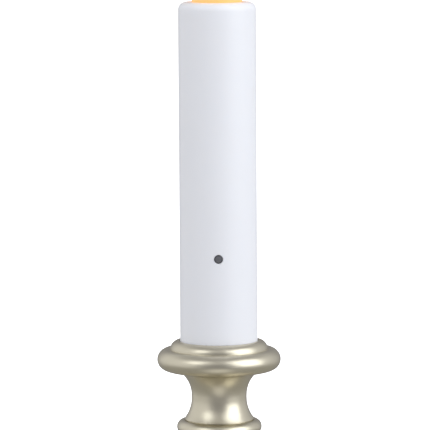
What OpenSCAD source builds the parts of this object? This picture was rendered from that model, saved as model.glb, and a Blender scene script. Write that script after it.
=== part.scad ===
// Battery candle for a window: a plastic candle sleeve over a battery cradle,
// on a turned candlestick base. Millimetres, +Z up, the light sensor faces -Y,
// and the origin is on the resting plane under the candle's axis.

/* [Candle sleeve] */
// Outer diameter of the sleeve
stem_d = 30; // [29:0.5:40]
// Length of the sleeve that shows above the cup's ring
stem_shown = 131; // [127:1:165]
// Thickness of the sleeve's tube
sleeve_wall = 1.5; // [1.2:0.1:2]
// Thickness of the sleeve's closed top
sleeve_top_t = 1.8; // [1.2:0.1:2.5]
// Rounding of the shoulder between tube and top
shoulder_r = 3; // [1:0.25:4]
// Height of the light sensor above the cup's ring
sensor_rise = 33.2; // [28:0.5:45]
// Diameter of the hole that the sensor looks through
sensor_hole_d = 3.4; // [3:0.1:5]

/* [Flame] */
// Diameter of the flame bulb where it leaves the sleeve
bulb_neck_d = 19.2; // [16:0.2:22]
// Fullness of the flame's belly: 1 is a plain taper
flame_belly = 2; // [1:0.1:2.4]
// Sharpness of the flame's tip: above 1 it draws in before the tip
flame_point = 1.1; // [0.9:0.05:1.4]
// Height of the flame above the sleeve
bulb_h = 46; // [36:1:60]
// Wall of the flame bulb
bulb_wall = 1.1; // [0.8:0.1:1.5]

/* [Candle cup] */
// Height of the cup from the neck to the crest of its ring
cup_h = 12.7; // [10.8:0.1:15.5]
// Depth of the pocket that the sleeve stands in
pocket_depth = 5.7; // [4:0.1:6.8]
// Radius of the ring's round profile
ring_round = 3.4; // [2.5:0.1:4.2]
// Outer diameter of the flange under the ring
flange_d = 47.9; // [46:0.1:60]
// Radius of the flange's round edge
flange_round = 4.13; // [3.3:0.01:5]

/* [Neck and foot] */
// Height of the neck between foot and cup
neck_h = 18.3; // [15:0.1:24]
// Diameter of the neck at its waist
waist_d = 21.4; // [20:0.1:26]
// Height of the waist above the foot
waist_rise = 9; // [7:0.1:10]
// Radius of the neck's top edge
neck_top_r = 14.63; // [13:0.01:18]
// Radius of the neck's bottom edge
neck_bottom_r = 13.9; // [13:0.01:18]
// Height of the foot up to its deck
foot_h = 30.7; // [26:0.1:37]
// Diameter of the foot
foot_d = 76; // [74:1:100]
// Radius of the bead round the foot's deck
bead_round = 2.71; // [2:0.01:3.2]
// Wall of the cast foot
foot_wall = 2; // [1.5:0.1:2.5]
// Height of the rubber feet below the foot's rim
rubber_drop = 1; // [0.5:0.1:2]

/* [Battery and light] */
// Diameter of one AA cell
cell_d = 14.5; // [13.5:0.1:14.5]
// Length of one AA cell with its button
cell_len = 50.5; // [49:0.1:50.5]
// Wall of the battery trough
trough_wall = 1.3; // [1:0.1:1.6]
// Thickness of the control board
board_t = 1.2; // [0.8:0.1:1.6]
// Length of the control board
board_len = 40; // [36:1:50]
// Diameter of the LED's lens
led_d = 5; // [4:0.5:6]

/* [Switch] */
// Travel of the slider to each side of the middle
switch_travel = 2; // [1.5:0.1:2.5]
// Length of the switch can
switch_len = 14; // [13:0.5:18]
// Width of the switch can
switch_w = 7; // [6.5:0.1:9]

/* [Hidden] */
$fn = 96;
slip = 0.3;
snug = 0.05;
eps = 0.01;
// Tie tube, nuts and washers of the clamp stack
tube_r = 5;
tube_bore_r = 3.5;
tube_past_nut = 1.5;
nut_flats = 15;
nut_h = 4.5;
washer_r = 8.8;
washer_t = 1;
// Foot
rim_z = rubber_drop;
torus_r = 4.8;
foot_r = foot_d / 2;
torus_c = [foot_r - torus_r, rim_z + 2.4];
step_h = 0.8;
cove_low_z = torus_c[1] + torus_r + step_h;
bead_c = [neck_bottom_r - 0.14, foot_h - bead_round];
fillet_r = bead_c[0] + 1.6;
fillet_top_z = bead_c[1] - bead_round - 0.9;
fillet_h = 1;
groove_r = fillet_r - 1.2;
cove_r = fillet_top_z - fillet_h - cove_low_z;
cove_c = [fillet_r - 0.6 + cove_r, fillet_top_z - fillet_h];
step_r = max(cove_c[0] + 1.3, torus_c[0] - 2.6);
// Bottom cover, its seat, screws and rubber feet
cover_t = 2.2;
cover_z = rim_z + 0.4;
cover_top = cover_z + cover_t;
rim_w = 2;
cover_r = foot_r - rim_w - snug;
ledge_r = cover_r - 1.4;
ledge_top = cover_top + 2;
boss_ring_r = 15;
boss_r = 3;
cover_screw_r = 1.25;
cover_head_r = 2.6;
cover_head_h = 1.1;
rubber_r = 4;
rubber_ring_r = foot_r - 8;
rubber_inset = 0.4;
// Ballast
ballast_in_r = boss_ring_r + boss_r + 0.5;
ballast_out_r = torus_c[0] - 0.4;
ballast_h = torus_c[1] + torus_r - foot_wall - slip - cover_top;
// Neck
crease = 0.35;
waist_r = waist_d / 2;
waist_flat = 1;
flare_low_h = waist_rise - waist_flat / 2;
flare_top_h = neck_h - waist_rise - waist_flat / 2;
neck_wall = 2.4;
neck_roof = 2.5;
register_h = 1.2;
// Cup
stem_r = stem_d / 2;
neck_top_z = foot_h + neck_h;
crest_z = neck_top_z + cup_h;
pocket_z = crest_z - pocket_depth;
pocket_r = stem_r + slip;
ring_c = [pocket_r + 0.22, crest_z - ring_round];
flange_c = [flange_d / 2 - flange_round, neck_top_z + flange_round + 1.2];
cup_floor_t = 2.5;
cup_hollow_r = neck_top_r - 2.6;
// Sleeve
bore_r = stem_r - sleeve_wall;
stem_top_z = crest_z + stem_shown;
sleeve_roof_z = stem_top_z - sleeve_top_t;
sensor_z = crest_z + sensor_rise;
notch_w = 3.6;
notch_h = 3.2;
// Flame bulb and its clip
bulb_neck_r = bulb_neck_d / 2;
bulb_flange_t = 1.2;
bulb_flange_r = bore_r - 1.1;
clip_t = 1.4;
bulb_steps = 28;
// Cradle
cradle_r = bore_r - 0.4;
key_r = stem_r - 0.2;
cradle_floor_t = 2;
nut_bay_h = 11;
bay_wall = 1.5;
bay_z = pocket_z + cradle_floor_t + nut_bay_h;
spring_h = 3.6;
plate_t = 0.4;
cell_r = cell_d / 2;
trough_in_r = cell_r + 0.35;
trough_out_r = trough_in_r + trough_wall;
cell_y = cradle_r - cell_r - 0.6;
cell_z = bay_z + bay_wall + plate_t + spring_h;
cells_top = cell_z + 2 * cell_len;
roof_z = cells_top + plate_t;
roof_t = 1.5;
guide_w = 1.3;
front_y = -bore_r + 1.6;
// Control board, on two posts in front of the trough
post_len = 1.8;
board_back_y = cell_y - trough_out_r - post_len;
board_front_y = board_back_y - board_t;
board_half_w = sqrt(pow(cradle_r - 0.8, 2) - pow(board_front_y, 2)) - 1.2;
board_z = sensor_z - 15;
board_screw_low_z = board_z + 4;
board_screw_high_z = board_z + board_len - 4;
board_screw_r = 0.8;
// Lamp post, LED board and LED
lamp_post_r = 6.4;
lamp_post_wall = 1.9;
led_board_r = 5.3;
led_board_t = 1.2;
led_board_z = stem_top_z - 0.9;
led_z = led_board_z + led_board_t;
led_len = 8.6;
lead_gap = 1.27;
// Switch
can_wall = 0.6;
can_h = 5;
shoe_l = 6;
shoe_h = 1.8;
stem_l = 3;
stem_w = 2.4;
knob_l = 5;
knob_w = 3.2;
knob_z = 0.7;
slot_w = knob_w + 0.8;
slot_l = knob_l + 2 * switch_travel + 0.8;
ear_l = 3;
lug_pitch = 3.6;
lug_h = 2.8;
lug_top = cover_top + can_h + lug_h;
// Wires and their ways through the cradle
wire_r = 0.6;
wire_hint = [0.9, 0.35, 0.1];
tube_low_z = foot_h - foot_wall - washer_t - nut_h - tube_past_nut;
tube_top = pocket_z + cradle_floor_t + washer_t + nut_h + tube_past_nut;
wire_hole_y = -cradle_r + 4.5;
wire_hole_r = 2.2;
channel_x = cradle_r - 2.6;
board_top = board_z + board_len;

// ---- shared shapes ----

// Ring with a rectangular section
module ring(r_out, r_in, z, h) {
    translate([0, 0, z])
        linear_extrude(h)
            difference() {
                circle(r = r_out);
                circle(r = r_in);
            }
}

// Copies spread evenly round the axis at one radius
module around(count, radius, first = 0) {
    for (i = [0 : count - 1])
        rotate([0, 0, first + i * 360 / count])
            translate([radius, 0, 0])
                children();
}

// Pan head screw pointing up, its head's face at z = 0 and its shank above it
module screw_up(head_r, head_h, shank_r, shank_l) {
    slot = head_r * 0.3;
    difference() {
        union() {
            cylinder(r = head_r, h = head_h);
            cylinder(r = shank_r, h = head_h + shank_l);
        }
        for (turn = [0, 90])
            rotate([0, 0, turn])
                translate([-head_r * 0.6, -slot / 2, -eps])
                    cube([head_r * 1.2, slot, head_h * 0.6]);
    }
}

// Unit vector along v
function unit(v) = v / norm(v);

// Ring of points round one stop of a path, square to the path
function path_ring(p, along, side_hint, r, sides) =
    let (u = unit(cross(along, side_hint)), v = cross(u, along))
    [for (k = [0 : sides - 1]) p + r * (cos(360 * k / sides) * u + sin(360 * k / sides) * v)];

// Wire of radius r along a path; side_hint is never parallel to the path
module sweep(path, r, side_hint, sides = 8) {
    n = len(path);
    hint = unit(side_hint);
    rings = [for (i = [0 : n - 1])
        path_ring(path[i], unit(path[min(i + 1, n - 1)] - path[max(i - 1, 0)]), hint, r, sides)];
    points = [for (one = rings) for (p = one) p];
    walls = [for (i = [0 : n - 2]) for (k = [0 : sides - 1])
        [i * sides + k, i * sides + (k + 1) % sides, (i + 1) * sides + (k + 1) % sides, (i + 1) * sides + k]];
    start_cap = [for (k = [sides - 1 : -1 : 0]) k];
    end_cap = [for (k = [0 : sides - 1]) (n - 1) * sides + k];
    polyhedron(points, concat([start_cap], walls, [end_cap]));
}

// ---- foot and what it holds ----

// Outline of the foot from its axis outwards: bead, fillet, cove, step and torus
module foot_outline() {
    difference() {
        union() {
            translate(bead_c)
                circle(r = bead_round);
            square([bead_c[0], foot_h]);
            square([groove_r, foot_h - bead_round]);
            translate([0, fillet_top_z - fillet_h])
                square([fillet_r, fillet_h]);
            difference() {
                square([cove_c[0], cove_c[1]]);
                translate(cove_c)
                    circle(r = cove_r);
            }
            square([step_r, cove_low_z]);
            square([torus_c[0], torus_c[1] + torus_r]);
            translate(torus_c)
                circle(r = torus_r);
        }
        translate([-1, -10])
            square([foot_r + 2, 10 + rim_z]);
    }
}

// Hollow of the foot, a wall's thickness inside its outline
module foot_hollow_outline() {
    difference() {
        union() {
            square([cover_r + snug, cover_top]);
            square([ledge_r, ledge_top]);
            square([torus_c[0], torus_c[1] + torus_r - foot_wall]);
            square([step_r - foot_wall, cove_low_z - foot_wall]);
            square([cove_c[0], cove_c[1]]);
            square([bead_c[0] - foot_wall, foot_h - foot_wall]);
        }
        translate(cove_c)
            circle(r = cove_r + foot_wall);
    }
}

// Cast foot with bosses for the cover's screws and a register for the neck
module foot_shell() {
    color("#a8a294")
        difference() {
            union() {
                difference() {
                    rotate_extrude()
                        foot_outline();
                    rotate_extrude()
                        foot_hollow_outline();
                }
                intersection() {
                    around(3, boss_ring_r, 90)
                        translate([0, 0, cover_top])
                            cylinder(r = boss_r, h = foot_h);
                    rotate_extrude()
                        foot_outline();
                }
                ring(waist_r - neck_wall - slip, tube_r + 1.5, foot_h - eps, register_h);
            }
            cylinder(r = tube_r + snug, h = foot_h + 10);
            around(3, boss_ring_r, 90)
                translate([0, 0, cover_top - eps])
                    cylinder(r = cover_screw_r + snug, h = 6);
        }
}

// Flat plate that closes the foot, with a slot for the slider
module bottom_cover() {
    color("#2b2b2d")
        difference() {
            ring(cover_r, 0, cover_z, cover_t);
            translate([-slot_l / 2, -slot_w / 2, 0])
                cube([slot_l, slot_w, cover_top + 1]);
            around(3, boss_ring_r, 90) {
                cylinder(r = cover_head_r + slip, h = cover_z + cover_head_h);
                cylinder(r = cover_screw_r + slip, h = cover_top + 1);
            }
            around(4, rubber_ring_r, 45)
                cylinder(r = rubber_r + 0.1, h = cover_z + rubber_inset);
            for (side = [-1, 1])
                translate([side * (switch_len / 2 + ear_l / 2), 0, cover_top - 1.6])
                    cylinder(r = board_screw_r + snug, h = 2);
        }
}

module cover_screws() {
    color("#b9babd")
        around(3, boss_ring_r, 90)
            translate([0, 0, cover_z])
                screw_up(cover_head_r, cover_head_h, cover_screw_r, 5);
}

module rubber_feet() {
    color("#1d1d1f")
        around(4, rubber_ring_r, 45)
            cylinder(r = rubber_r, h = cover_z + rubber_inset);
}

module ballast_ring() {
    color("#6d6f72")
        ring(ballast_out_r, ballast_in_r, cover_top, ballast_h);
}

// ---- slide switch ----

// Steel can with two ears, open at the top and slotted for the slider
module switch_can() {
    color("#c3c5c8")
        difference() {
            union() {
                translate([-switch_len / 2, -switch_w / 2, cover_top])
                    cube([switch_len, switch_w, can_h]);
                translate([-switch_len / 2 - ear_l, -switch_w / 2 + 1, cover_top])
                    cube([switch_len + 2 * ear_l, switch_w - 2, can_wall]);
            }
            translate([-switch_len / 2 + can_wall, -switch_w / 2 + can_wall, cover_top + can_wall])
                cube([switch_len - 2 * can_wall, switch_w - 2 * can_wall, can_h]);
            translate([-stem_l / 2 - switch_travel - 0.4, -stem_w / 2 - 0.4, cover_top - 1])
                cube([stem_l + 2 * switch_travel + 0.8, stem_w + 0.8, 3]);
            for (side = [-1, 1])
                translate([side * (switch_len / 2 + ear_l / 2), 0, cover_top - 1])
                    cylinder(r = board_screw_r + 0.15, h = 3);
        }
}

// Insulating plate in the can's mouth, slotted for the lugs
module switch_insulator() {
    color("#6b4a2b")
        difference() {
            translate([-switch_len / 2 + can_wall + snug, -switch_w / 2 + can_wall + snug, cover_top + can_h - 1.2])
                cube([switch_len - 2 * can_wall - 2 * snug, switch_w - 2 * can_wall - 2 * snug, 1.2]);
            for (i = [-1 : 1])
                translate([i * lug_pitch - 0.75, -0.3, cover_top + can_h - 2])
                    cube([1.5, 0.6, 4]);
        }
}

module switch_lugs() {
    color("#d9c9a0")
        for (i = [-1 : 1])
            translate([i * lug_pitch - 0.7, -0.25, cover_top + can_h - 1.2])
                cube([1.4, 0.5, lug_h + 1.2]);
}

module switch_screws() {
    color("#b9babd")
        for (side = [-1, 1])
            translate([side * (switch_len / 2 + ear_l / 2), 0, cover_top + can_wall + 0.8])
                rotate([180, 0, 0])
                    screw_up(1.4, 0.8, board_screw_r, 1.9);
}

// Slider: a shoe inside the can, a stem through both slots and a ribbed knob
module switch_slider() {
    shoe_z = cover_top + can_wall + slip;
    color("#26262a")
        union() {
            translate([-shoe_l / 2, -switch_w / 2 + can_wall + slip, shoe_z])
                cube([shoe_l, switch_w - 2 * can_wall - 2 * slip, shoe_h]);
            translate([-stem_l / 2, -stem_w / 2, knob_z + 1])
                cube([stem_l, stem_w, shoe_z - knob_z]);
            translate([-knob_l / 2, -knob_w / 2, knob_z + 0.4])
                cube([knob_l, knob_w, cover_top - knob_z - 0.4 - slip]);
            for (i = [-2 : 2])
                translate([i - 0.25, -knob_w / 2, knob_z])
                    cube([0.5, knob_w, 1]);
        }
}

// ---- neck, cup and the tube that ties them together ----

// Radius of an arc that rises h and turns out by w from the waist
function flare_round(h, w) = (h * h + w * w) / (2 * w);

// Turned neck, hollow from below
module neck_column() {
    low_round = flare_round(flare_low_h, neck_bottom_r - waist_r);
    top_round = flare_round(flare_top_h, neck_top_r - waist_r);
    color("#aaa496")
        difference() {
            rotate_extrude()
                difference() {
                    union() {
                        translate([0, foot_h + crease])
                            square([neck_bottom_r, neck_h / 2]);
                        translate([0, foot_h + neck_h / 2])
                            square([neck_top_r, neck_h / 2]);
                        translate([0, foot_h])
                            square([neck_bottom_r - 0.8, 1]);
                    }
                    translate([waist_r + low_round, foot_h + flare_low_h])
                        circle(r = low_round);
                    translate([waist_r + top_round, neck_top_z - flare_top_h])
                        circle(r = top_round);
                    translate([waist_r, foot_h + flare_low_h])
                        square([20, waist_flat]);
                }
            translate([0, 0, foot_h - eps])
                cylinder(r = waist_r - neck_wall, h = neck_h - neck_roof);
            cylinder(r = tube_r + snug, h = neck_top_z + 1);
        }
}

// Outline of the cup: a ring that stands on a round-edged flange
module cup_outline() {
    reach = flange_c - [neck_top_r, neck_top_z];
    under_slope = atan2(reach[1], reach[0]) - asin(flange_round / norm(reach));
    touch = flange_c + flange_round * [sin(under_slope), -cos(under_slope)];
    translate(ring_c)
        circle(r = ring_round);
    translate(flange_c)
        circle(r = flange_round);
    polygon([[0, neck_top_z], [neck_top_r, neck_top_z], touch, flange_c,
        [flange_c[0], flange_c[1] + flange_round], [ring_c[0], flange_c[1] + flange_round],
        [ring_c[0], crest_z], [0, crest_z]]);
}

// Cup with the pocket that the sleeve stands in, hollow from below
module candle_cup() {
    color("#b0aa9c")
        difference() {
            rotate_extrude()
                cup_outline();
            translate([0, 0, pocket_z])
                cylinder(r = pocket_r, h = 2 * pocket_depth);
            translate([0, 0, neck_top_z - eps])
                cylinder(r = cup_hollow_r, h = pocket_z - cup_floor_t - neck_top_z + eps);
            cylinder(r = tube_r + snug, h = crest_z);
        }
}

// Threaded lamp tube that runs from the foot's hollow to the cradle's floor
module tie_tube() {
    color("#c9a24e")
        ring(tube_r, tube_bore_r, tube_low_z, tube_top - tube_low_z);
}

// Hexagonal nut with a plain bore
module hex_nut(z) {
    translate([0, 0, z])
        difference() {
            cylinder(r = nut_flats / sqrt(3), h = nut_h, $fn = 6);
            translate([0, 0, -1])
                cylinder(r = tube_r + snug, h = nut_h + 2);
        }
}

module tie_nuts() {
    color("#c7b37a") {
        hex_nut(foot_h - foot_wall - washer_t - nut_h);
        hex_nut(pocket_z + cradle_floor_t + washer_t);
    }
}

module tie_washers() {
    color("#bfc0c2") {
        ring(washer_r, tube_r + snug, foot_h - foot_wall - washer_t, washer_t);
        ring(washer_r, tube_r + snug, pocket_z + cradle_floor_t, washer_t);
    }
}

// Rubber bush in the tube's top end that saves the wires from its edge
module wire_grommet() {
    color("#202022")
        union() {
            ring(tube_bore_r - snug, tube_bore_r - 0.8, tube_top - 2, 2 + eps);
            ring(tube_r - 0.4, tube_bore_r - 0.8, tube_top, 0.8);
        }
}

// ---- battery cradle ----

// Plan of the cradle: a trough open to the back, and two guides for the sleeve
module cradle_plan() {
    difference() {
        translate([0, cell_y])
            circle(r = trough_out_r);
        translate([0, cell_y])
            circle(r = trough_in_r);
        translate([-cradle_r, cell_y + 0.5])
            square([2 * cradle_r, cradle_r]);
    }
    for (side = [-1, 1])
        scale([side, 1])
            intersection() {
                difference() {
                    circle(r = cradle_r);
                    circle(r = cradle_r - guide_w);
                }
                translate([cradle_r / 2, cell_y - 10])
                    square([cradle_r, 10]);
            }
    for (side = [-1, 1])
        intersection() {
            translate([side * (cell_r + cradle_r) / 2 - (cradle_r - cell_r) / 2, cell_y - 1.2])
                square([cradle_r - cell_r, 1.2]);
            difference() {
                circle(r = cradle_r - 0.2);
                translate([0, cell_y])
                    circle(r = trough_in_r + 0.2);
            }
        }
}

// Two posts in front of the trough, where the control board is screwed on
module board_posts(r, length) {
    for (z = [board_screw_low_z, board_screw_high_z])
        translate([0, board_back_y, z])
            rotate([-90, 0, 0])
                cylinder(r = r, h = length);
}

// Cradle: floor with its key, nut bay, battery bay, roof and lamp post
module battery_cradle() {
    post_top = led_board_z + led_board_t;
    color("#e9e9ea")
        difference() {
            union() {
                ring(cradle_r, 0, pocket_z, cradle_floor_t);
                translate([-notch_w / 2 + slip, 0, pocket_z])
                    intersection() {
                        cube([notch_w - 2 * slip, key_r, notch_h - 2 * slip]);
                        translate([notch_w / 2 - slip, 0, 0])
                            cylinder(r = key_r, h = notch_h);
                    }
                difference() {
                    ring(cradle_r, cradle_r - bay_wall, pocket_z + 1, bay_z - pocket_z);
                    translate([-cradle_r * 0.7, 0, pocket_z + cradle_floor_t + 1])
                        cube([cradle_r * 1.4, stem_r, nut_bay_h - 1 - eps]);
                }
                ring(cradle_r, 0, bay_z, bay_wall);
                translate([0, 0, bay_z + 1])
                    linear_extrude(roof_z - bay_z - 0.5)
                        cradle_plan();
                board_posts(2.2, post_len + 0.6);
                ring(cradle_r, 0, roof_z, roof_t);
                ring(lamp_post_r, lamp_post_r - lamp_post_wall, roof_z + 1, post_top - roof_z - 1);
            }
            cylinder(r = tube_r + snug, h = pocket_z + cradle_floor_t + eps);
            translate([0, 0, pocket_z + cradle_floor_t])
                cylinder(r = washer_r + slip, h = nut_bay_h);
            translate([-stem_r, front_y - stem_r, sensor_z - 12])
                cube([stem_d, stem_r, stem_top_z]);
            board_posts(board_screw_r + snug, 2);
            translate([0, 0, led_board_z])
                cylinder(r = led_board_r + snug, h = 5);
            // Ways for the wires through floor and roof, and up inside the lamp post
            translate([0, wire_hole_y, bay_z - 1])
                cylinder(r = wire_hole_r, h = bay_wall + 2);
            translate([0, 0, roof_z + eps])
                cylinder(r = lamp_post_r - lamp_post_wall, h = roof_t + 2);
            translate([-2, -lamp_post_r - 2, roof_z + roof_t + 0.6])
                cube([4, 5, 4]);
            translate([-2.6, -stem_r, roof_z - 1])
                cube([5.2, stem_r - lamp_post_r - 2.4, roof_t + 2]);
        }
}

// ---- cells and contacts ----

// AA cell standing on its flat end, button up
module cell(z) {
    button_h = 1.2;
    translate([0, cell_y, z]) {
        cylinder(r = cell_r, h = cell_len - button_h);
        cylinder(r = 2.75, h = cell_len);
    }
}

module lower_cell() {
    color("#3f6f9f")
        cell(cell_z);
}

module upper_cell() {
    color("#3f6f9f")
        cell(cell_z + cell_len);
}

// Coil spring on a small plate, pressed short by the cells
module negative_spring() {
    turns = 3;
    steps = 16;
    coil_r = 3.4;
    spring_wire_r = 0.4;
    low_z = bay_z + bay_wall + plate_t + spring_wire_r - 0.1;
    climb = spring_h - 2 * spring_wire_r + 0.1;
    color("#c9c9c4")
        union() {
            translate([-4.5, cell_y - 4.5, bay_z + bay_wall])
                cube([9, 9, plate_t]);
            sweep([for (i = [0 : turns * steps])
                [coil_r * cos(360 * i / steps), cell_y + coil_r * sin(360 * i / steps),
                    low_z + climb * i / (turns * steps)]], spring_wire_r, [0, 0, 1], 6);
        }
}

module positive_contact() {
    color("#c9c9c4")
        union() {
            translate([-4.5, cell_y - 4.5, cells_top])
                cube([9, 9, plate_t]);
            translate([-1.5, cell_y - trough_in_r + 0.2, cells_top])
                cube([3, trough_in_r, plate_t]);
        }
}

// ---- control board ----

module control_board() {
    color("#2f7a45")
        difference() {
            translate([-board_half_w, board_front_y, board_z])
                cube([2 * board_half_w, board_t, board_len]);
            translate([0, -3, 0])
                board_posts(board_screw_r + 0.15, 6);
            for (side = [-1, 1])
                translate([side * lead_gap, 0, sensor_z])
                    rotate([90, 0, 0])
                        cylinder(r = 0.35, h = stem_r);
        }
}

module board_screws() {
    color("#b9babd")
        for (z = [board_screw_low_z, board_screw_high_z])
            translate([0, board_front_y - 0.9, z])
                rotate([-90, 0, 0])
                    screw_up(1.6, 0.9, board_screw_r, board_t + 1.9);
}

// Part on the front of the board at x and z
module on_board(x, z) {
    translate([x, board_front_y, z])
        rotate([90, 0, 0])
            children();
}

// Flat package with four legs a side
module control_chip() {
    chip_x = board_half_w - 3.6;
    color("#1c1c1e")
        on_board(chip_x, board_z + 27)
            union() {
                translate([-2, -2.5, 0.15])
                    cube([4, 5, 1.5]);
                for (i = [-1.5 : 1.5])
                    translate([-3, i * 1.27 - 0.2, 0])
                        cube([6, 0.4, 0.5]);
            }
}

// Light sensor on two leads behind the sleeve's window
module photocell() {
    face_y = front_y + 0.5;
    depth = -face_y + board_front_y;
    color("#d8cfa8")
        on_board(0, sensor_z)
            union() {
                translate([0, 0, depth - 2])
                    cylinder(r = 2.4, h = 2);
                for (side = [-1, 1])
                    translate([side * lead_gap, 0, -board_t - 0.8])
                        cylinder(r = 0.25, h = depth + board_t);
            }
}

// Small three-legged transistor with a flat face
module transistor() {
    color("#232325")
        on_board(-board_half_w + 3.4, board_z + 22)
            union() {
                translate([0, 0, 1.2])
                    intersection() {
                        cylinder(r = 1.9, h = 2);
                        translate([-2, -1.2, 0])
                            cube([4, 4, 2]);
                    }
                for (i = [-1 : 1])
                    translate([i - 0.2, -0.2, 0])
                        cube([0.4, 0.4, 1.6]);
            }
}

// Axial resistors lying across the board
module resistors() {
    color("#cbb28a")
        for (spot = [[-board_half_w + 3.6, 12], [-board_half_w + 3.6, 8.6], [board_half_w - 3.6, 8.6],
            [board_half_w - 3.6, 12]])
            on_board(spot[0], board_z + spot[1])
                union() {
                    translate([-1.6, 0, 1])
                        rotate([0, 90, 0])
                            cylinder(r = 0.75, h = 3.2);
                    translate([-2.6, 0, 1])
                        rotate([0, 90, 0])
                            cylinder(r = 0.2, h = 5.2);
                    for (side = [-1, 1])
                        translate([side * 2.4, 0, 0])
                            cylinder(r = 0.2, h = 1.1);
                }
}

module capacitor() {
    color("#33364a")
        on_board(-1.6, board_z + 29)
            union() {
                cylinder(r = 2, h = 0.4);
                cylinder(r = 1.9, h = 3.6);
            }
}

// ---- lamp ----

module led_board() {
    color("#2f7a45")
        difference() {
            ring(led_board_r, 0, led_board_z, led_board_t);
            for (side = [-1, 1])
                translate([side * lead_gap, 0, led_board_z - 1])
                    cylinder(r = 0.4, h = 4);
        }
}

// Round-nosed LED with its collar and two leads
module flame_led() {
    color("#ffd27a")
        translate([0, 0, led_z])
            union() {
                cylinder(r = led_d / 2 + 0.4, h = 1);
                cylinder(r = led_d / 2, h = led_len - led_d / 2);
                translate([0, 0, led_len - led_d / 2])
                    intersection() {
                        sphere(r = led_d / 2);
                        cylinder(r = led_d, h = led_d);
                    }
                for (side = [-1, 1])
                    translate([side * lead_gap, 0, -led_board_t - 1.2])
                        cylinder(r = 0.3, h = led_board_t + 1.3);
            }
}

// ---- wires ----

// From the outer switch lugs up the tie tube, through the cradle's floor and up to the board
module switch_wires() {
    color("#d7d7d2")
        for (side = [-1, 1])
            sweep([[side * lug_pitch, 0.9, lug_top - 1.2], [side * lug_pitch, 0.9, lug_top + 0.6],
                [side * 3, 0.8, lug_top + 3], [side * 1.4, 0.4, lug_top + 6], [side * 1.1, 0, lug_top + 9],
                [side * 1.1, 0, foot_h + 8], [side * 1.1, 0, tube_top - 2], [side * 1, -0.3, tube_top + 0.6],
                [side * 0.9, -1.6, tube_top + 1.9], [side * 0.85, -4, tube_top + 2.4],
                [side * 0.85, wire_hole_y + 1.9, tube_top + 2.8], [side * 0.85, wire_hole_y + 0.5, bay_z + 0.2],
                [side * 0.9, wire_hole_y, bay_z + bay_wall + 1], [side * 1.1, wire_hole_y, board_z - 4],
                [side * 1.6, board_front_y - 1.4, board_z - 1], [side * 1.8, board_front_y - 1, board_z + 1],
                [side * 1.8, board_front_y - 0.7, board_z + 2]],
                wire_r, wire_hint);
}

// From the two contacts to the board, in the channels beside the trough
module battery_wires() {
    color("#b8322c")
        sweep([[channel_x - 1.2, cell_y - 4.6, cells_top - 0.7], [channel_x, -1, cells_top - 3],
            [channel_x, -1.1, cells_top - 8], [channel_x, -1.1, board_top + 9], [channel_x - 0.6, -2.6, board_top + 4],
            [channel_x - 2, board_front_y - 0.9, board_top + 0.6], [board_half_w - 2.6, board_front_y - 0.8,
            board_top - 2.4]],
            wire_r, [0.3, 0.9, 0.1]);
    color("#1f1f22")
        sweep([[-channel_x + 0.6, -0.6, bay_z + bay_wall + 1.6], [-channel_x, -1, bay_z + 5.5],
            [-channel_x + 0.3, -1.8, bay_z + 8], [-channel_x + 1.6, board_front_y - 0.8, board_z - 1.6],
            [-board_half_w + 2.6, board_front_y - 0.9, board_z + 1.2], [-board_half_w + 2.6, board_front_y - 0.7,
            board_z + 2.4]],
            wire_r, [0.3, 0.9, 0.1]);
}

// From the board's top edge up to the lamp post and the LED board inside it
module led_wires() {
    thin_r = 0.5;
    color("#e0b23a")
        for (side = [-1, 1])
            sweep([[side * 3, board_front_y - 0.7, board_top - 7], [side * 3, board_front_y - 1, board_top - 5],
                [side * 2.9, board_front_y - 1.2, board_top + 3], [side * 1.8, board_front_y - 1.4, roof_z - 16],
                [side * 1.3, front_y + 1.8, roof_z - 5], [side * 1.2, front_y + 1.8, roof_z + roof_t],
                [side * 1.1, -lamp_post_r - 1.4, roof_z + roof_t + 2], [side * 1, -lamp_post_r + 0.8,
                roof_z + roof_t + 2.8], [side * 1, -2.6, roof_z + roof_t + 3.6], [side * 1, -1.8, roof_z + roof_t + 6],
                [side * lead_gap, -1.1, led_board_z - 3], [side * lead_gap, -0.9, led_board_z - 0.6]],
                thin_r, wire_hint);
}

// ---- what lifts off ----

// Candle sleeve: a tube with a closed, round-shouldered top
module candle_sleeve() {
    color("#e6e9f2")
        difference() {
            rotate_extrude()
                union() {
                    translate([0, pocket_z])
                        square([stem_r, stem_top_z - shoulder_r - pocket_z]);
                    square_top = stem_top_z - shoulder_r;
                    translate([0, square_top - eps])
                        square([stem_r - shoulder_r, shoulder_r + eps]);
                    intersection() {
                        translate([stem_r - shoulder_r, square_top])
                            circle(r = shoulder_r);
                        translate([0, square_top - eps])
                            square([stem_r, shoulder_r + 1]);
                    }
                }
            translate([0, 0, pocket_z - 1])
                cylinder(r = bore_r, h = sleeve_roof_z - pocket_z + 1);
            cylinder(r = bulb_neck_r + 0.2, h = stem_top_z + 1);
            translate([0, 0, sensor_z])
                rotate([90, 0, 0])
                    cylinder(r = sensor_hole_d / 2, h = stem_d);
            translate([-notch_w / 2, 0, pocket_z - 1])
                cube([notch_w, stem_d, notch_h + 1]);
        }
}

// Radius of the flame at a share of its height, from its neck to its tip
function flame_r(share) = bulb_neck_r * pow(1 - share, flame_point) * (1 + flame_belly * share);

// Outline of the flame with its lower tube, shrunk by inset
module flame_outline(inset) {
    top = bulb_h - 1.6 * inset;
    polygon(concat(
        [[0, sleeve_roof_z - 4], [bulb_neck_r - inset, sleeve_roof_z - 4]],
        [for (i = [0 : bulb_steps - 1])
            [max(0.05, flame_r(i / bulb_steps) - inset), stem_top_z + top * i / bulb_steps]],
        [[0, stem_top_z + top]]));
}

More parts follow.
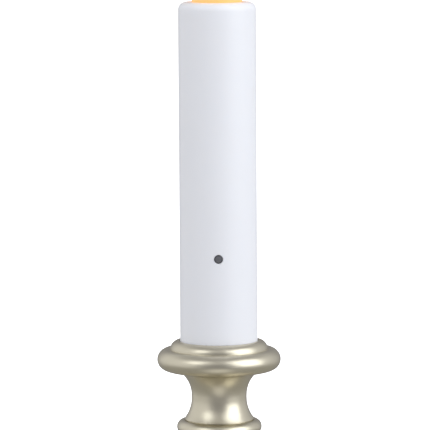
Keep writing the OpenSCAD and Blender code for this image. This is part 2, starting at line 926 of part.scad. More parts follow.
// Hollow flame bulb with the collar that sits under the sleeve's top
module flame_bulb() {
    color("#ffcf85")
        difference() {
            union() {
                difference() {
                    rotate_extrude()
                        flame_outline(0);
                    cylinder(r = stem_d, h = sleeve_roof_z - bulb_flange_t);
                }
                ring(bulb_flange_r, bulb_neck_r - bulb_wall, sleeve_roof_z - bulb_flange_t, bulb_flange_t);
            }
            rotate_extrude()
                flame_outline(bulb_wall);
        }
}

// Springy ring that holds the bulb's collar against the sleeve's top
module bulb_clip() {
    color("#dfe0e3")
        difference() {
            ring(bore_r - snug, bulb_neck_r - 0.6, sleeve_roof_z - bulb_flange_t - clip_t, clip_t);
            for (turn = [0 : 60 : 300])
                rotate([0, 0, turn])
                    translate([bulb_neck_r + 1.6, -0.5, 0])
                        cube([5, 1, stem_top_z]);
        }
}

// Smoked window in the sensor hole, with a collar on the inside
module sensor_window() {
    collar_y = -sqrt(pow(bore_r, 2) - pow(2.7, 2)) + snug;
    color("#4a4a4e")
        translate([0, 0, sensor_z])
            rotate([90, 0, 0])
                union() {
                    intersection() {
                        cylinder(r = sensor_hole_d / 2 - snug, h = stem_r + 0.1);
                        translate([-3, -3, -collar_y - 0.3])
                            cube([6, 6, 10]);
                    }
                    translate([0, 0, -collar_y - 0.6])
                        cylinder(r = 2.7, h = 0.6);
                }
}

foot_shell();
neck_column();
candle_cup();
tie_tube();
tie_nuts();
tie_washers();
wire_grommet();
ballast_ring();
bottom_cover();
cover_screws();
rubber_feet();
switch_can();
switch_insulator();
switch_lugs();
switch_screws();
switch_slider();
battery_cradle();
lower_cell();
upper_cell();
negative_spring();
positive_contact();
control_board();
board_screws();
control_chip();
photocell();
transistor();
resistors();
capacitor();
led_board();
flame_led();
switch_wires();
battery_wires();
led_wires();
candle_sleeve();
flame_bulb();
bulb_clip();
sensor_window();
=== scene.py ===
# %% [markdown]
# # A battery window candle
# This lesson dresses a flameless candle: a white plastic candle sleeve with an amber
# flame bulb, standing in a turned, pewter-plated candlestick base. Under the sleeve are
# two AA cells in a cradle, a small control board and a light sensor.
# The CAD model is loaded first. It fixes every size and place, so each piece made here
# takes its measures from it.

# %% Load the frame
import math

import bmesh
import bpy
from mathutils import Matrix, Vector


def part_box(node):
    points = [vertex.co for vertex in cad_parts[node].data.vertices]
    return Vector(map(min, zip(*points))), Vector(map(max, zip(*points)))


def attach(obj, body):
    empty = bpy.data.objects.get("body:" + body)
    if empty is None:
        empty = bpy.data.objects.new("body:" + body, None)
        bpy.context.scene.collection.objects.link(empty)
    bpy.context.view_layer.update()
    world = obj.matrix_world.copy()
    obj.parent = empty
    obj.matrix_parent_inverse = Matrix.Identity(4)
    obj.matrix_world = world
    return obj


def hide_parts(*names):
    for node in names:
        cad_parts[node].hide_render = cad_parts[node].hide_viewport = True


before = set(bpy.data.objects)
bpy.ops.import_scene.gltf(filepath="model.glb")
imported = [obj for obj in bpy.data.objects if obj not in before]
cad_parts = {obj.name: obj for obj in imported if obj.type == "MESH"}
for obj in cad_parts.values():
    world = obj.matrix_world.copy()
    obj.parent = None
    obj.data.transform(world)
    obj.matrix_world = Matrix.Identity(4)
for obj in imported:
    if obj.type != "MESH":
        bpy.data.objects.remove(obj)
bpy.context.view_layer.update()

MM = 0.001


def add_object(name, data):
    """A new object of the data, in the scene."""
    thing = bpy.data.objects.new(name, data)
    bpy.context.scene.collection.objects.link(thing)
    return thing


# %% [markdown]
# ## Camera
# The candle is seen from a little above its flame, through a long lens a good metre away,
# so its rings are thin ellipses and its sides stay parallel. The view takes in the sleeve
# and the upper half of the base.

# %% Camera
CAMERA_AWAY = 1.396
CAMERA_HEIGHT = 0.2655
AIM_HEIGHT = 0.1104
AIM_SIDE = -0.00123
ROLL_DEG = -0.33
LENS_MM = 304.7

camera_data = bpy.data.cameras.new("camera")
camera_data.sensor_width = 36.0
camera_data.lens = LENS_MM
camera_data.clip_end = 50.0
camera = add_object("camera", camera_data)
camera.location = (AIM_SIDE, -CAMERA_AWAY, CAMERA_HEIGHT)
line_of_sight = Vector((AIM_SIDE, 0.0, AIM_HEIGHT)) - camera.location
camera.rotation_mode = "QUATERNION"
camera.rotation_quaternion = (line_of_sight.to_track_quat("-Z", "Y")
    @ Matrix.Rotation(math.radians(ROLL_DEG), 3, "Z").to_quaternion())
bpy.context.scene.camera = camera
bpy.context.scene.view_settings.view_transform = "Standard"
print("camera looks down by", round(math.degrees(math.asin(-line_of_sight.normalized().z)), 2), "degrees")

# %% [markdown]
# ## Small helpers for node trees
# Materials and geometry trees are both nodes and links. One function adds a node, sets its
# properties and its sockets, and joins what comes from other nodes. Another turns the hex
# colours that a maker would quote into the linear values that Blender mixes. The others
# work out a sum, turn a size in mm into a texture's scale, and start a material.

# %% Helpers for nodes and colours
def add_node(tree, kind, settings=None, **sockets):
    """A new node. Settings are its properties; a socket's value is a number, a colour, a
    datablock or another output. A socket is named with _ for a space, or i_ and its number."""
    node = tree.nodes.new(kind)
    for key, value in (settings or {}).items():
        setattr(node, key, value)
    for key, value in sockets.items():
        by_number = key.startswith("i_")
        socket = node.inputs[int(key[2:])] if by_number else node.inputs[key.replace("_", " ")]
        if isinstance(value, bpy.types.NodeSocket):
            tree.links.new(value, socket)
        else:
            socket.default_value = value
    return node


def calc(tree, operation, *values):
    """The output of a Math node on numbers and other nodes' outputs."""
    numbered = {f"i_{i}": value for i, value in enumerate(values)}
    return add_node(tree, "ShaderNodeMath", {"operation": operation}, **numbered).outputs["Value"]


def rgb(hex_colour):
    """Linear RGBA of an sRGB hex colour."""
    parts = [int(hex_colour[i:i + 2], 16) / 255 for i in (1, 3, 5)]
    linear = [c / 12.92 if c <= 0.04045 else ((c + 0.055) / 1.055) ** 2.4 for c in parts]
    return (*linear, 1.0)


def per_metre(size_mm):
    """Scale for a noise or wave texture with features size_mm across, on coordinates in metres."""
    return 1.0 / (size_mm * MM)


def start_material(name, **fixed):
    """A new material, its tree, and its Principled shader with some sockets set."""
    material = bpy.data.materials.new(name)
    material.use_nodes = True
    tree = material.node_tree
    tree.nodes.clear()
    output = add_node(tree, "ShaderNodeOutputMaterial")
    shader = add_node(tree, "ShaderNodeBsdfPrincipled", **fixed)
    tree.links.new(shader.outputs["BSDF"], output.inputs["Surface"])
    return material, tree, shader


print("a mid grey in linear light:", round(rgb("#808080")[0], 3))

# %% [markdown]
# ## Studio
# The candle stands in a plain white studio: a pale floor that runs out of sight, a large
# soft box to the right, a smaller one to the left, and a soft even room. Two fills, which
# no gloss mirrors, lift the front's shade and keep the back from going grey.
# A metal this satin shows every light as a soft patch, so the boxes are placed by where
# their patches fall on the base.

# %% Floor and room
FLOOR_GLOW = 1.05
FLOOR_HALF = 15.0
ROOM_LEFT = "#f0f1f3"
ROOM_RIGHT = "#d6d7da"
ROOM_FRONT = "#98989c"
ROOM_BACK = "#8e8e92"
ROOM_LOW = "#a9a8a4"
ROOM_TOP = "#b0b0b4"
TABLE_SHEEN = "#f2f1ed"
SHEEN_FALL_DEG = 42

floor_white = start_material("pale studio floor", Base_Color=rgb("#f4f4f5"), Roughness=0.9,
    Specular_IOR_Level=0.0, Emission_Color=rgb("#ffffff"), Emission_Strength=FLOOR_GLOW)[0]
floor_mesh = bpy.data.meshes.new("studio_floor")
floor_mesh.from_pydata([(-FLOOR_HALF, -FLOOR_HALF, 0), (FLOOR_HALF, -FLOOR_HALF, 0),
    (FLOOR_HALF, FLOOR_HALF, 0), (-FLOOR_HALF, FLOOR_HALF, 0)], [], [(0, 1, 2, 3)])
floor_mesh.materials.append(floor_white)
floor = add_object("studio_floor", floor_mesh)
floor.visible_glossy = False
floor.visible_diffuse = False


def soft_step(tree, value, start, end):
    """A smooth step of a value from 0 at start to 1 at end."""
    return add_node(tree, "ShaderNodeMapRange", {"interpolation_type": "SMOOTHSTEP"}, Value=value,
        From_Min=start, From_Max=end).outputs["Result"]


def mix(tree, share, low, high):
    """A colour between two, each a hex colour or another node's output."""
    low, high = [rgb(c) if isinstance(c, str) else c for c in (low, high)]
    return add_node(tree, "ShaderNodeMix", {"data_type": "RGBA"}, i_0=share, i_6=low, i_7=high).outputs[2]


world = bpy.data.worlds.new("soft room")
bpy.context.scene.world = world
world.use_nodes = True
room = world.node_tree
room.nodes.clear()
look = add_node(room, "ShaderNodeTexCoord").outputs["Generated"]
axes = add_node(room, "ShaderNodeSeparateXYZ", Vector=look).outputs
fall = math.radians(SHEEN_FALL_DEG)
near_sheen = add_node(room, "ShaderNodeVectorMath", {"operation": "DOT_PRODUCT"}, i_0=look,
    i_1=(0.0, -math.cos(fall), -math.sin(fall))).outputs["Value"]
sides = mix(room, soft_step(room, axes["X"], -0.7, 0.7), ROOM_LEFT, ROOM_RIGHT)
lower = mix(room, soft_step(room, axes["Z"], 0.02, -0.45), sides, ROOM_LOW)
upper = mix(room, soft_step(room, axes["Z"], 0.5, 0.92), lower, ROOM_TOP)
back = mix(room, soft_step(room, axes["Y"], 0.62, 0.97), upper, ROOM_BACK)
front = mix(room, soft_step(room, axes["Y"], -0.6, -0.95), back, ROOM_FRONT)
sheen = mix(room, soft_step(room, near_sheen, 0.88, 0.99), front, TABLE_SHEEN)
seen_straight = add_node(room, "ShaderNodeLightPath").outputs["Is Camera Ray"]
room_light = add_node(room, "ShaderNodeBackground", Color=mix(room, seen_straight, sheen, "#ffffff"),
    Strength=1.0)
add_node(room, "ShaderNodeOutputWorld", Surface=room_light.outputs["Background"])
print("floor and room are in place")

# %% Soft boxes
BOX_COLOUR = "#f6fafe"
LIGHT_AIM = 0.10


def soft_box(name, turn_deg, rise_deg, away, size, power, mirrored=True):
    """A light that faces the candle from turn_deg to the right of the camera and rise_deg up."""
    aim = Vector((0.0, 0.0, LIGHT_AIM))
    turn, rise = math.radians(turn_deg), math.radians(rise_deg)
    towards = Vector((math.sin(turn) * math.cos(rise), -math.cos(turn) * math.cos(rise), math.sin(rise)))
    data = bpy.data.lights.new(name, "AREA")
    data.shape = "RECTANGLE"
    data.size, data.size_y = size
    data.energy = power
    data.color = rgb(BOX_COLOUR)[:3]
    light = add_object(name, data)
    light.location = aim + towards * away
    light.rotation_euler = (-towards).to_track_quat("-Z", "Y").to_euler()
    light.visible_glossy = mirrored


soft_box("right_box", 60, 27, 1.3, (1.3, 1.45), 12.0)
soft_box("left_box", -48, 37, 1.3, (0.68, 0.7), 2.0)
soft_box("front_fill", -35, 12, 1.4, (1.2, 1.2), 2.1, mirrored=False)
soft_box("back_fill", 170, 20, 1.4, (1.4, 1.2), 4.0, mirrored=False)
print("two soft boxes and two fills")

# %% [markdown]
# ## Turning a piece on its axis
# The base, the sleeve and the flame are all round, so each is an outline turned on the
# candle's axis. A Geometry Nodes tree does the turning: it sweeps the outline, a closed
# loop of points, round a tiny circle. A lathe turner rounds every edge a little, so
# the outline function puts a small arc at each corner that has a radius.

# %% Outlines
def arc(centre, radius, start_deg, end_deg, steps=14):
    """Points along an arc, in mm, from one angle to another."""
    angles = [math.radians(start_deg + (end_deg - start_deg) * i / steps) for i in range(steps + 1)]
    return [(centre[0] + radius * math.cos(a), centre[1] + radius * math.sin(a)) for a in angles]


def soften(points):
    """A closed outline with an arc at each corner that is given as (r, z, radius)."""
    outline = []
    count = len(points)
    for i, corner in enumerate(points):
        if len(corner) == 2:
            outline.append(corner)
            continue
        here = Vector(corner[:2])
        before = Vector(points[i - 1][:2]) - here
        after = Vector(points[(i + 1) % count][:2]) - here
        bend = before.angle(after)
        reach = min(corner[2] / math.tan(bend / 2), before.length * 0.48, after.length * 0.48)
        centre_line = (before.normalized() + after.normalized()).normalized()
        centre = here + centre_line * (reach / math.cos(bend / 2))
        first = here + before.normalized() * reach
        last = here + after.normalized() * reach
        a0, a1 = [math.atan2(p.y - centre.y, p.x - centre.x) for p in (first, last)]
        sweep = (a1 - a0 + math.pi) % (2 * math.pi) - math.pi
        radius = (first - centre).length
        angles = [a0 + sweep * k / 5 for k in range(6)]
        outline += [(centre.x + radius * math.cos(a), centre.y + radius * math.sin(a)) for a in angles]
    return outline


print("a softened square has", len(soften([(0, 0, 1), (9, 0, 1), (9, 9, 1), (0, 9, 1)])), "points")

# %% The turning tree
def start_tree(name, output, **inputs):
    """A geometry tree with inputs of the given kinds, and the outputs of its input node."""
    tree = bpy.data.node_groups.new(name, "GeometryNodeTree")
    for key, kind in inputs.items():
        tree.interface.new_socket(key.replace("_", " "), in_out="INPUT", socket_type="NodeSocket" + kind)
    tree.interface.new_socket(output, in_out="OUTPUT", socket_type="NodeSocketGeometry")
    return tree, add_node(tree, "NodeGroupInput").outputs


def end_tree(tree, geometry, finish_of):
    """Makes a tree's geometry real, gives it its finish and hands it out."""
    real = add_node(tree, "GeometryNodeRealizeInstances", Geometry=geometry)
    finished = add_node(tree, "GeometryNodeSetMaterial", Geometry=real.outputs["Geometry"],
        Material=finish_of)
    add_node(tree, "NodeGroupOutput", i_0=finished.outputs["Geometry"])
    return tree


def turning_tree():
    """Sweeps an outline round the axis. It lies in its own X and -Y, a path radius in."""
    tree, given = start_tree("turn on the axis", "Turned", Outline="Geometry", Steps_round="Int",
        Path_radius="Float", Finish="Material")
    loop = add_node(tree, "GeometryNodeMeshToCurve", Mesh=given["Outline"])
    path = add_node(tree, "GeometryNodeCurvePrimitiveCircle", Resolution=given["Steps round"],
        Radius=given["Path radius"])
    swept = add_node(tree, "GeometryNodeCurveToMesh", Curve=path.outputs["Curve"],
        Profile_Curve=loop.outputs["Curve"])
    closed = add_node(tree, "GeometryNodeMergeByDistance", Geometry=swept.outputs["Mesh"],
        Distance=MERGE_WITHIN)
    return end_tree(tree, closed.outputs["Geometry"], given["Finish"])


def settled(piece):
    """A plain mesh of a piece as its modifiers leave it."""
    bpy.context.view_layer.update()
    return bpy.data.meshes.new_from_object(piece.evaluated_get(bpy.context.evaluated_depsgraph_get()))


def grow(name, start_mesh, tree, **inputs):
    """Runs a geometry tree on a mesh, and returns a plain object at the origin with the result."""
    seed = add_object(name + "_seed", start_mesh)
    modifier = seed.modifiers.new("grow", "NODES")
    modifier.node_group = tree
    identifiers = {item.name: item.identifier for item in tree.interface.items_tree if item.in_out == "INPUT"}
    for key, value in inputs.items():
        modifier[identifiers[key.replace("_", " ")]] = value
    result = settled(seed)
    result.name = name
    bpy.data.objects.remove(seed)
    return add_object(name, result)


def face_out(mesh, sharp_deg=32.0):
    """Turns faces outwards, and shades smooth except across edges sharper than sharp_deg."""
    work = bmesh.new()
    work.from_mesh(mesh)
    bmesh.ops.recalc_face_normals(work, faces=work.faces)
    if work.calc_volume(signed=True) < 0:
        bmesh.ops.reverse_faces(work, faces=work.faces)
    work.to_mesh(mesh)
    work.free()
    mesh.shade_smooth()
    mesh.set_sharp_from_angle(angle=math.radians(sharp_deg))


MERGE_WITHIN = 2e-6
PATH_RADIUS = 0.001
TURNING = turning_tree()


def turn(name, outline, material, steps=192):
    """A piece turned from a closed outline of (r, z) points in mm."""
    mesh = bpy.data.meshes.new(name + "_outline")
    count = len(outline)
    mesh.from_pydata([(r * MM - PATH_RADIUS, -z * MM, 0.0) for r, z in outline],
        [(i, (i + 1) % count) for i in range(count)], [])
    piece = grow(name, mesh, TURNING, Steps_round=steps, Path_radius=PATH_RADIUS, Finish=material)
    face_out(piece.data)
    return piece


print("turning tree has", len(TURNING.nodes), "nodes")

# %% [markdown]
# ## Cutting
# Holes and notches are cut as a mould or drill cuts them: a plain solid is taken out of the
# piece with a Boolean modifier, and the result is kept as a plain mesh.

# %% Cutters
def keep_settled(piece):
    """Makes what a piece's modifiers do to it final."""
    result = settled(piece)
    piece.modifiers.clear()
    piece.data = result


def cut(piece, cutter, operation="DIFFERENCE"):
    """Takes the cutter's shape out of the piece, or keeps what they share, and uses it up."""
    modifier = piece.modifiers.new("cut", "BOOLEAN")
    modifier.operation = operation
    modifier.solver = "EXACT"
    modifier.object = cutter
    keep_settled(piece)
    bpy.data.objects.remove(cutter)


def mesh_from(name, work):
    """A mesh from a bmesh, which is used up."""
    mesh = bpy.data.meshes.new(name)
    work.to_mesh(mesh)
    work.free()
    return mesh


def rod(name, start, end, r_start, r_end, sides=64):
    """A closed cone or cylinder between two points, radii in mm and points in metres."""
    work = bmesh.new()
    along = Vector(end) - Vector(start)
    turn_to = along.to_track_quat("Z", "Y").to_matrix().to_4x4()
    place = Matrix.Translation((Vector(start) + Vector(end)) / 2) @ turn_to
    bmesh.ops.create_cone(work, cap_ends=True, segments=sides, radius1=r_start * MM, radius2=r_end * MM,
        depth=along.length, matrix=place)
    return add_object(name, mesh_from(name, work))


def block(name, low, high):
    """A closed box between two corners in metres."""
    work = bmesh.new()
    middle, size = (Vector(low) + Vector(high)) / 2, Vector(high) - Vector(low)
    place = Matrix.Translation(middle) @ Matrix.Diagonal((*size, 1.0))
    bmesh.ops.create_cube(work, size=1.0, matrix=place)
    return add_object(name, mesh_from(name, work))


def dress(piece, body, slot, *nodes):
    """Says which body a piece rides on and which CAD pieces it stands for. The slot, where its finish comes
    from, is not used.
    """
    if nodes:
        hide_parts(*nodes)
    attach(piece, body)
    print(f"{piece.name}: {len(piece.data.polygons)} faces on {body}")


print("cutters are rods and blocks")

# %% [markdown]
# ## One way to start every finish
# Moulded plastic, plated metal and printed sleeve all share two things: their colour and
# gloss drift a little from place to place, and their skin has a grain that is too fine to
# see singly but breaks reflections up. One function makes that base from sizes in mm, and
# a finish that needs more, such as a printed band, is overprinted on it.

# %% Finishes
def finish(name, light, dark, patch_mm, gloss, grain_mm, grain_high_mm, **fixed):
    """A material between two colours and two roughnesses in soft patches, with a grain in relief."""
    material, tree, shader = start_material(name, **fixed)
    place = add_node(tree, "ShaderNodeTexCoord").outputs["Object"]
    cloud, grain = [add_node(tree, "ShaderNodeTexNoise", Vector=place, Scale=per_metre(size_mm),
        Detail=detail).outputs["Fac"] for size_mm, detail in ((patch_mm, 3.0), (grain_mm, 2.0))]
    drift = add_node(tree, "ShaderNodeMapRange", Value=cloud, To_Min=gloss[0], To_Max=gloss[1])
    skin = add_node(tree, "ShaderNodeBump", Strength=1.0, Distance=grain_high_mm * MM, Height=grain)
    tree.links.new(mix(tree, cloud, dark, light), shader.inputs["Base Color"])
    tree.links.new(drift.outputs["Result"], shader.inputs["Roughness"])
    tree.links.new(skin.outputs["Normal"], shader.inputs["Normal"])
    return material


def overprint(material, mask, colour):
    """Prints a colour on a finish where the mask, an output in its tree, is 1."""
    tree = material.node_tree
    ink = tree.nodes["Principled BSDF"].inputs["Base Color"]
    tree.links.new(mix(tree, mask, ink.links[0].from_socket, colour), ink)


def ripple(material, size_mm, high_mm):
    """Adds slow waves of a size and height in mm under the grain, as hand finishing leaves."""
    tree = material.node_tree
    place = add_node(tree, "ShaderNodeTexCoord").outputs["Object"]
    waves = add_node(tree, "ShaderNodeTexNoise", Vector=place, Scale=per_metre(size_mm), Detail=1.0)
    normal = tree.nodes["Principled BSDF"].inputs["Normal"]
    rolling = add_node(tree, "ShaderNodeBump", Strength=1.0, Distance=high_mm * MM,
        Height=waves.outputs["Fac"], Normal=normal.links[0].from_socket)
    tree.links.new(rolling.outputs["Normal"], normal)


def near(tree, value, middle_mm, reach_mm):
    """A mask that is 1 where a coordinate is within reach of a middle."""
    return calc(tree, "COMPARE", value, middle_mm * MM, reach_mm * MM)


def both(tree, one, other):
    """A mask that is 1 where two masks are."""
    return calc(tree, "MULTIPLY", one, other)


def coordinates(material):
    """The material's tree, and the X, Y and Z outputs of the place on the piece."""
    tree = material.node_tree
    place = add_node(tree, "ShaderNodeTexCoord").outputs["Object"]
    return tree, add_node(tree, "ShaderNodeSeparateXYZ", Vector=place).outputs


print("grain scale for 0.5 mm:", per_metre(0.5))

# %% [markdown]
# ## Pewter plate
# The base is cast metal with a satin pewter plate: brushed finely all over, then lacquered.
# The plate is a warm grey metal whose reflections are soft patches, with the faint
# cloudiness of hand finishing. Its grain of 0.35 mm is coarser than real brushing, so that
# it can work at this distance.

# %% Pewter plate
PEWTER = finish("satin pewter plate", "#d6cfbc", "#cfc8b3", 9, (0.32, 0.38), 0.35, 0.002, Metallic=1.0)
ripple(PEWTER, 5.0, 0.1)
print("made:", PEWTER.name)

# %% [markdown]
# ## Foot
# The foot is a thin casting with a turned outside: a round torus at the rim, a small step,
# a deep cove that sweeps up, a fillet, and a bead round the deck that carries the
# neck. Its outline is walked once round, outside and in, so that the wall has its real
# thickness.

# %% Foot
FOOT_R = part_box("foot_shell")[1].x / MM
RIM_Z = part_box("foot_shell")[0].z / MM
DECK_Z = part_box("neck_column")[0].z / MM
COVER_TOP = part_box("bottom_cover")[1].z / MM
COVER_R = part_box("bottom_cover")[1].x / MM
TUBE_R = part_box("tie_tube")[1].x / MM
SNUG = 0.05
FOOT_WALL = 2.0
TORUS_R = 4.8
torus_c = (FOOT_R - TORUS_R, RIM_Z + 2.4)
COVE_LOW = torus_c[1] + TORUS_R + 0.8
BEAD_R = 2.71
bead_c = (13.76, DECK_Z - BEAD_R)
FILLET_R = bead_c[0] + 1.6
FILLET_TOP = bead_c[1] - BEAD_R - 0.9
GROOVE_R = FILLET_R - 1.2
COVE_R = FILLET_TOP - 1.0 - COVE_LOW
cove_c = (FILLET_R - 0.6 + COVE_R, FILLET_TOP - 1.0)


def foot_outline():
    step_r = cove_c[0] + 1.46
    groove_deg = -math.degrees(math.acos((GROOVE_R - bead_c[0]) / BEAD_R))
    rim_deg = math.degrees(math.asin((RIM_Z - torus_c[1]) / TORUS_R))
    deck_in = TUBE_R + SNUG
    points = [(COVER_R + SNUG, RIM_Z, 0.2), *arc(torus_c, TORUS_R, rim_deg, 90, 40)]
    points += [(step_r, COVE_LOW - 0.8, 0.3), (step_r, COVE_LOW, 0.25), *arc(cove_c, COVE_R, -90, -180, 36)]
    points += [(FILLET_R, FILLET_TOP - 1.0, 0.2), (FILLET_R, FILLET_TOP, 0.3), (GROOVE_R, FILLET_TOP, 0.25)]
    points += arc(bead_c, BEAD_R, groove_deg, 90, 36)
    points += [(deck_in + 3, DECK_Z), (deck_in + 3, DECK_Z + 1.2), (deck_in + 1.5, DECK_Z + 1.2),
        (deck_in + 1.5, DECK_Z), (deck_in, DECK_Z), (deck_in, DECK_Z - FOOT_WALL)]
    points += [(bead_c[0] - FOOT_WALL, DECK_Z - FOOT_WALL, 0.5), (bead_c[0] - FOOT_WALL, cove_c[1])]
    points += arc(cove_c, COVE_R + FOOT_WALL, 180, 270, 30)
    points += [(cove_c[0], torus_c[1] + TORUS_R - FOOT_WALL),
        (torus_c[0], torus_c[1] + TORUS_R - FOOT_WALL, 0.5)]
    points += [(torus_c[0], COVER_TOP + 2), (COVER_R - 1.4, COVER_TOP + 2), (COVER_R - 1.4, COVER_TOP)]
    points += [(COVER_R + SNUG, COVER_TOP)]
    return soften(points)


foot = turn("foot", foot_outline(), PEWTER, steps=256)
dress(foot, "base", "pewter_plate", "foot_shell")

# %% [markdown]
# ## Neck
# The neck is waisted: two hollow curves that meet at the waist. It sits on the foot's
# deck over a thin shadow line, where the two castings are clamped together.

# %% Neck
NECK_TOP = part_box("neck_column")[1].z / MM
NECK_TOP_R = 14.63
NECK_LOW_R = 13.9
WAIST_R = 10.7
WAIST_Z = DECK_Z + 9.0
CREASE = 0.35


def flare(rise, out):
    """Radius of an arc that rises by rise while it turns out by out from the upright."""
    return (rise * rise + out * out) / (2 * out)


def neck_outline():
    low_rise, top_rise = WAIST_Z - 0.5 - DECK_Z, NECK_TOP - WAIST_Z - 0.5
    low_r, top_r = flare(low_rise, NECK_LOW_R - WAIST_R), flare(top_rise, NECK_TOP_R - WAIST_R)
    low_c, top_c = (WAIST_R + low_r, WAIST_Z - 0.5), (WAIST_R + top_r, WAIST_Z + 0.5)
    low_deg = 180 + math.degrees(math.asin((low_rise - CREASE) / low_r))
    top_deg = 180 - math.degrees(math.asin(top_rise / top_r))
    edge = arc(low_c, low_r, low_deg, 180, 24)
    bore, hollow = TUBE_R + SNUG, WAIST_R - 2.4
    points = [(hollow, DECK_Z), (NECK_LOW_R - 0.8, DECK_Z), (NECK_LOW_R - 0.8, DECK_Z + CREASE)]
    points += [(edge[0][0], DECK_Z + CREASE, 0.1), *edge[1:], *arc(top_c, top_r, 180, top_deg, 24)]
    points += [(bore, NECK_TOP), (bore, NECK_TOP - 2.5), (hollow, NECK_TOP - 2.5, 0.5)]
    return soften(points)


neck = turn("neck", neck_outline(), PEWTER)
dress(neck, "base", "pewter_plate", "neck_column")
print("neck waist in mm:", 2 * WAIST_R)

# %% [markdown]
# ## Candle cup
# The cup is one turning: a ring that hugs the sleeve stands on a fat round flange. The
# hollow between ring and flange is a polished-in curve, not a sharp corner, so
# the outline eases it with a small arc.

# %% Candle cup
CREST_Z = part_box("candle_cup")[1].z / MM
POCKET_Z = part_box("candle_sleeve")[0].z / MM
STEM_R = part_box("candle_sleeve")[1].x / MM
FLANGE_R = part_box("candle_cup")[1].x / MM
RING_R = 3.4
EDGE_R = 4.13
ring_c = (STEM_R + 0.52, CREST_Z - RING_R)
flange_c = (FLANGE_R - EDGE_R, NECK_TOP + EDGE_R + 1.2)


def cup_outline():
    reach = Vector(flange_c) - Vector((NECK_TOP_R, NECK_TOP))
    slope = math.degrees(math.atan2(reach.y, reach.x) - math.asin(EDGE_R / reach.length))
    bore, hollow = TUBE_R + SNUG, NECK_TOP_R - 2.6
    lip = math.degrees(math.acos((STEM_R + 0.3 - ring_c[0]) / RING_R))
    points = [(bore, POCKET_Z - 2.5), (hollow, POCKET_Z - 2.5), (hollow, NECK_TOP)]
    points += [(NECK_TOP_R, NECK_TOP, 0.1), *arc(flange_c, EDGE_R, slope - 90, 98, 52)]
    points += [(ring_c[0] + RING_R + 0.02, flange_c[1] + EDGE_R - 0.06, 0.2)]
    points += [*arc(ring_c, RING_R, 4, lip, 32), (STEM_R + 0.3, POCKET_Z, 0.2), (bore, POCKET_Z)]
    return soften(points)


cup = turn("cup", cup_outline(), PEWTER, steps=256)
dress(cup, "base", "pewter_plate", "candle_cup")

# %% [markdown]
# ## Sleeve plastic
# The sleeve is moulded in cool white polypropylene. Light goes a few millimetres into it and
# comes out again, which softens its shading, and its skin is satin. The amber flame glows a
# little through the top of it. Moulded skins have a very fine grain.

# %% Sleeve plastic
SLEEVE_WHITE = finish("cool white moulded polypropylene", "#f7f8fe", "#f4f5fc", 26, (0.36, 0.42), 0.5,
    0.0015, IOR=1.49, Subsurface_Weight=0.25, Subsurface_Radius=(1.0, 0.95, 0.9), Subsurface_Scale=0.0015)
print("made:", SLEEVE_WHITE.name)

# %% [markdown]
# ## Candle sleeve
# A long tube with a closed, round-shouldered top, open below. It is turned like the base,
# and then the sensor's hole and the key notch are cut, as in the mould, by cutters that a
# Boolean modifier takes away.

# %% Candle sleeve
STEM_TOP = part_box("candle_sleeve")[1].z / MM
ROOF_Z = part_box("flame_bulb")[0].z / MM + 1.2
SLEEVE_WALL = 1.5
SHOULDER_R = 3.0
BULB_NECK_R = 9.6
SENSOR_Z = (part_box("sensor_window")[0].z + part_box("sensor_window")[1].z) / 2 / MM
HOLE_R = 1.7
HOLE_EASE = 0.45
NOTCH_HALF, NOTCH_RISE = 1.8, 3.2


def sleeve_outline():
    bore, hole = STEM_R - SLEEVE_WALL, BULB_NECK_R + 0.2
    shoulder = arc((STEM_R - SHOULDER_R, STEM_TOP - SHOULDER_R), SHOULDER_R, 0, 90, 24)
    points = [(bore, POCKET_Z, 0.2), (STEM_R, POCKET_Z, 0.25)]
    points += [(STEM_R, POCKET_Z + (STEM_TOP - POCKET_Z) * k / 12) for k in range(1, 12)]
    points += [*shoulder, (hole, STEM_TOP, 0.25), (hole, ROOF_Z, 0.15), (bore, ROOF_Z, 0.3)]
    return soften(points)


sleeve = turn("sleeve", sleeve_outline(), SLEEVE_WHITE, steps=256)
sensor_mid = SENSOR_Z * MM
sleeve_low = POCKET_Z * MM
cut(sleeve, rod("hole_cutter", (0, -0.02, sensor_mid), (0, -0.010, sensor_mid), HOLE_R, HOLE_R))
cut(sleeve, rod("rim_cutter", (0, -0.0154, sensor_mid), (0, -0.01465, sensor_mid), HOLE_R + HOLE_EASE,
    HOLE_R - 0.05))
cut(sleeve, block("notch_cutter", (-NOTCH_HALF * MM, 0.010, sleeve_low - 0.001),
    (NOTCH_HALF * MM, 0.020, sleeve_low + NOTCH_RISE * MM)))
face_out(sleeve.data)
dress(sleeve, "sleeve", "sleeve_plastic", "candle_sleeve")

# %% [markdown]
# ## Flame bulb
# The bulb is a hollow flame moulded in frosted amber plastic, lit from inside by an LED.
# Its shape follows one rule: the radius falls away towards the tip while the belly fills
# out. Most of what the eye sees is its own light, so the shader is mostly an amber glow,
# paler low down in the middle where the LED is near, deeper towards the tip.

# %% Amber glow
GLOW_STRENGTH = 0.48
GLOW_COLOURS = ((0.0, "#ffc880"), (0.25, "#ffdca0"), (0.55, "#ffc670"), (1.0, "#f0932f"))


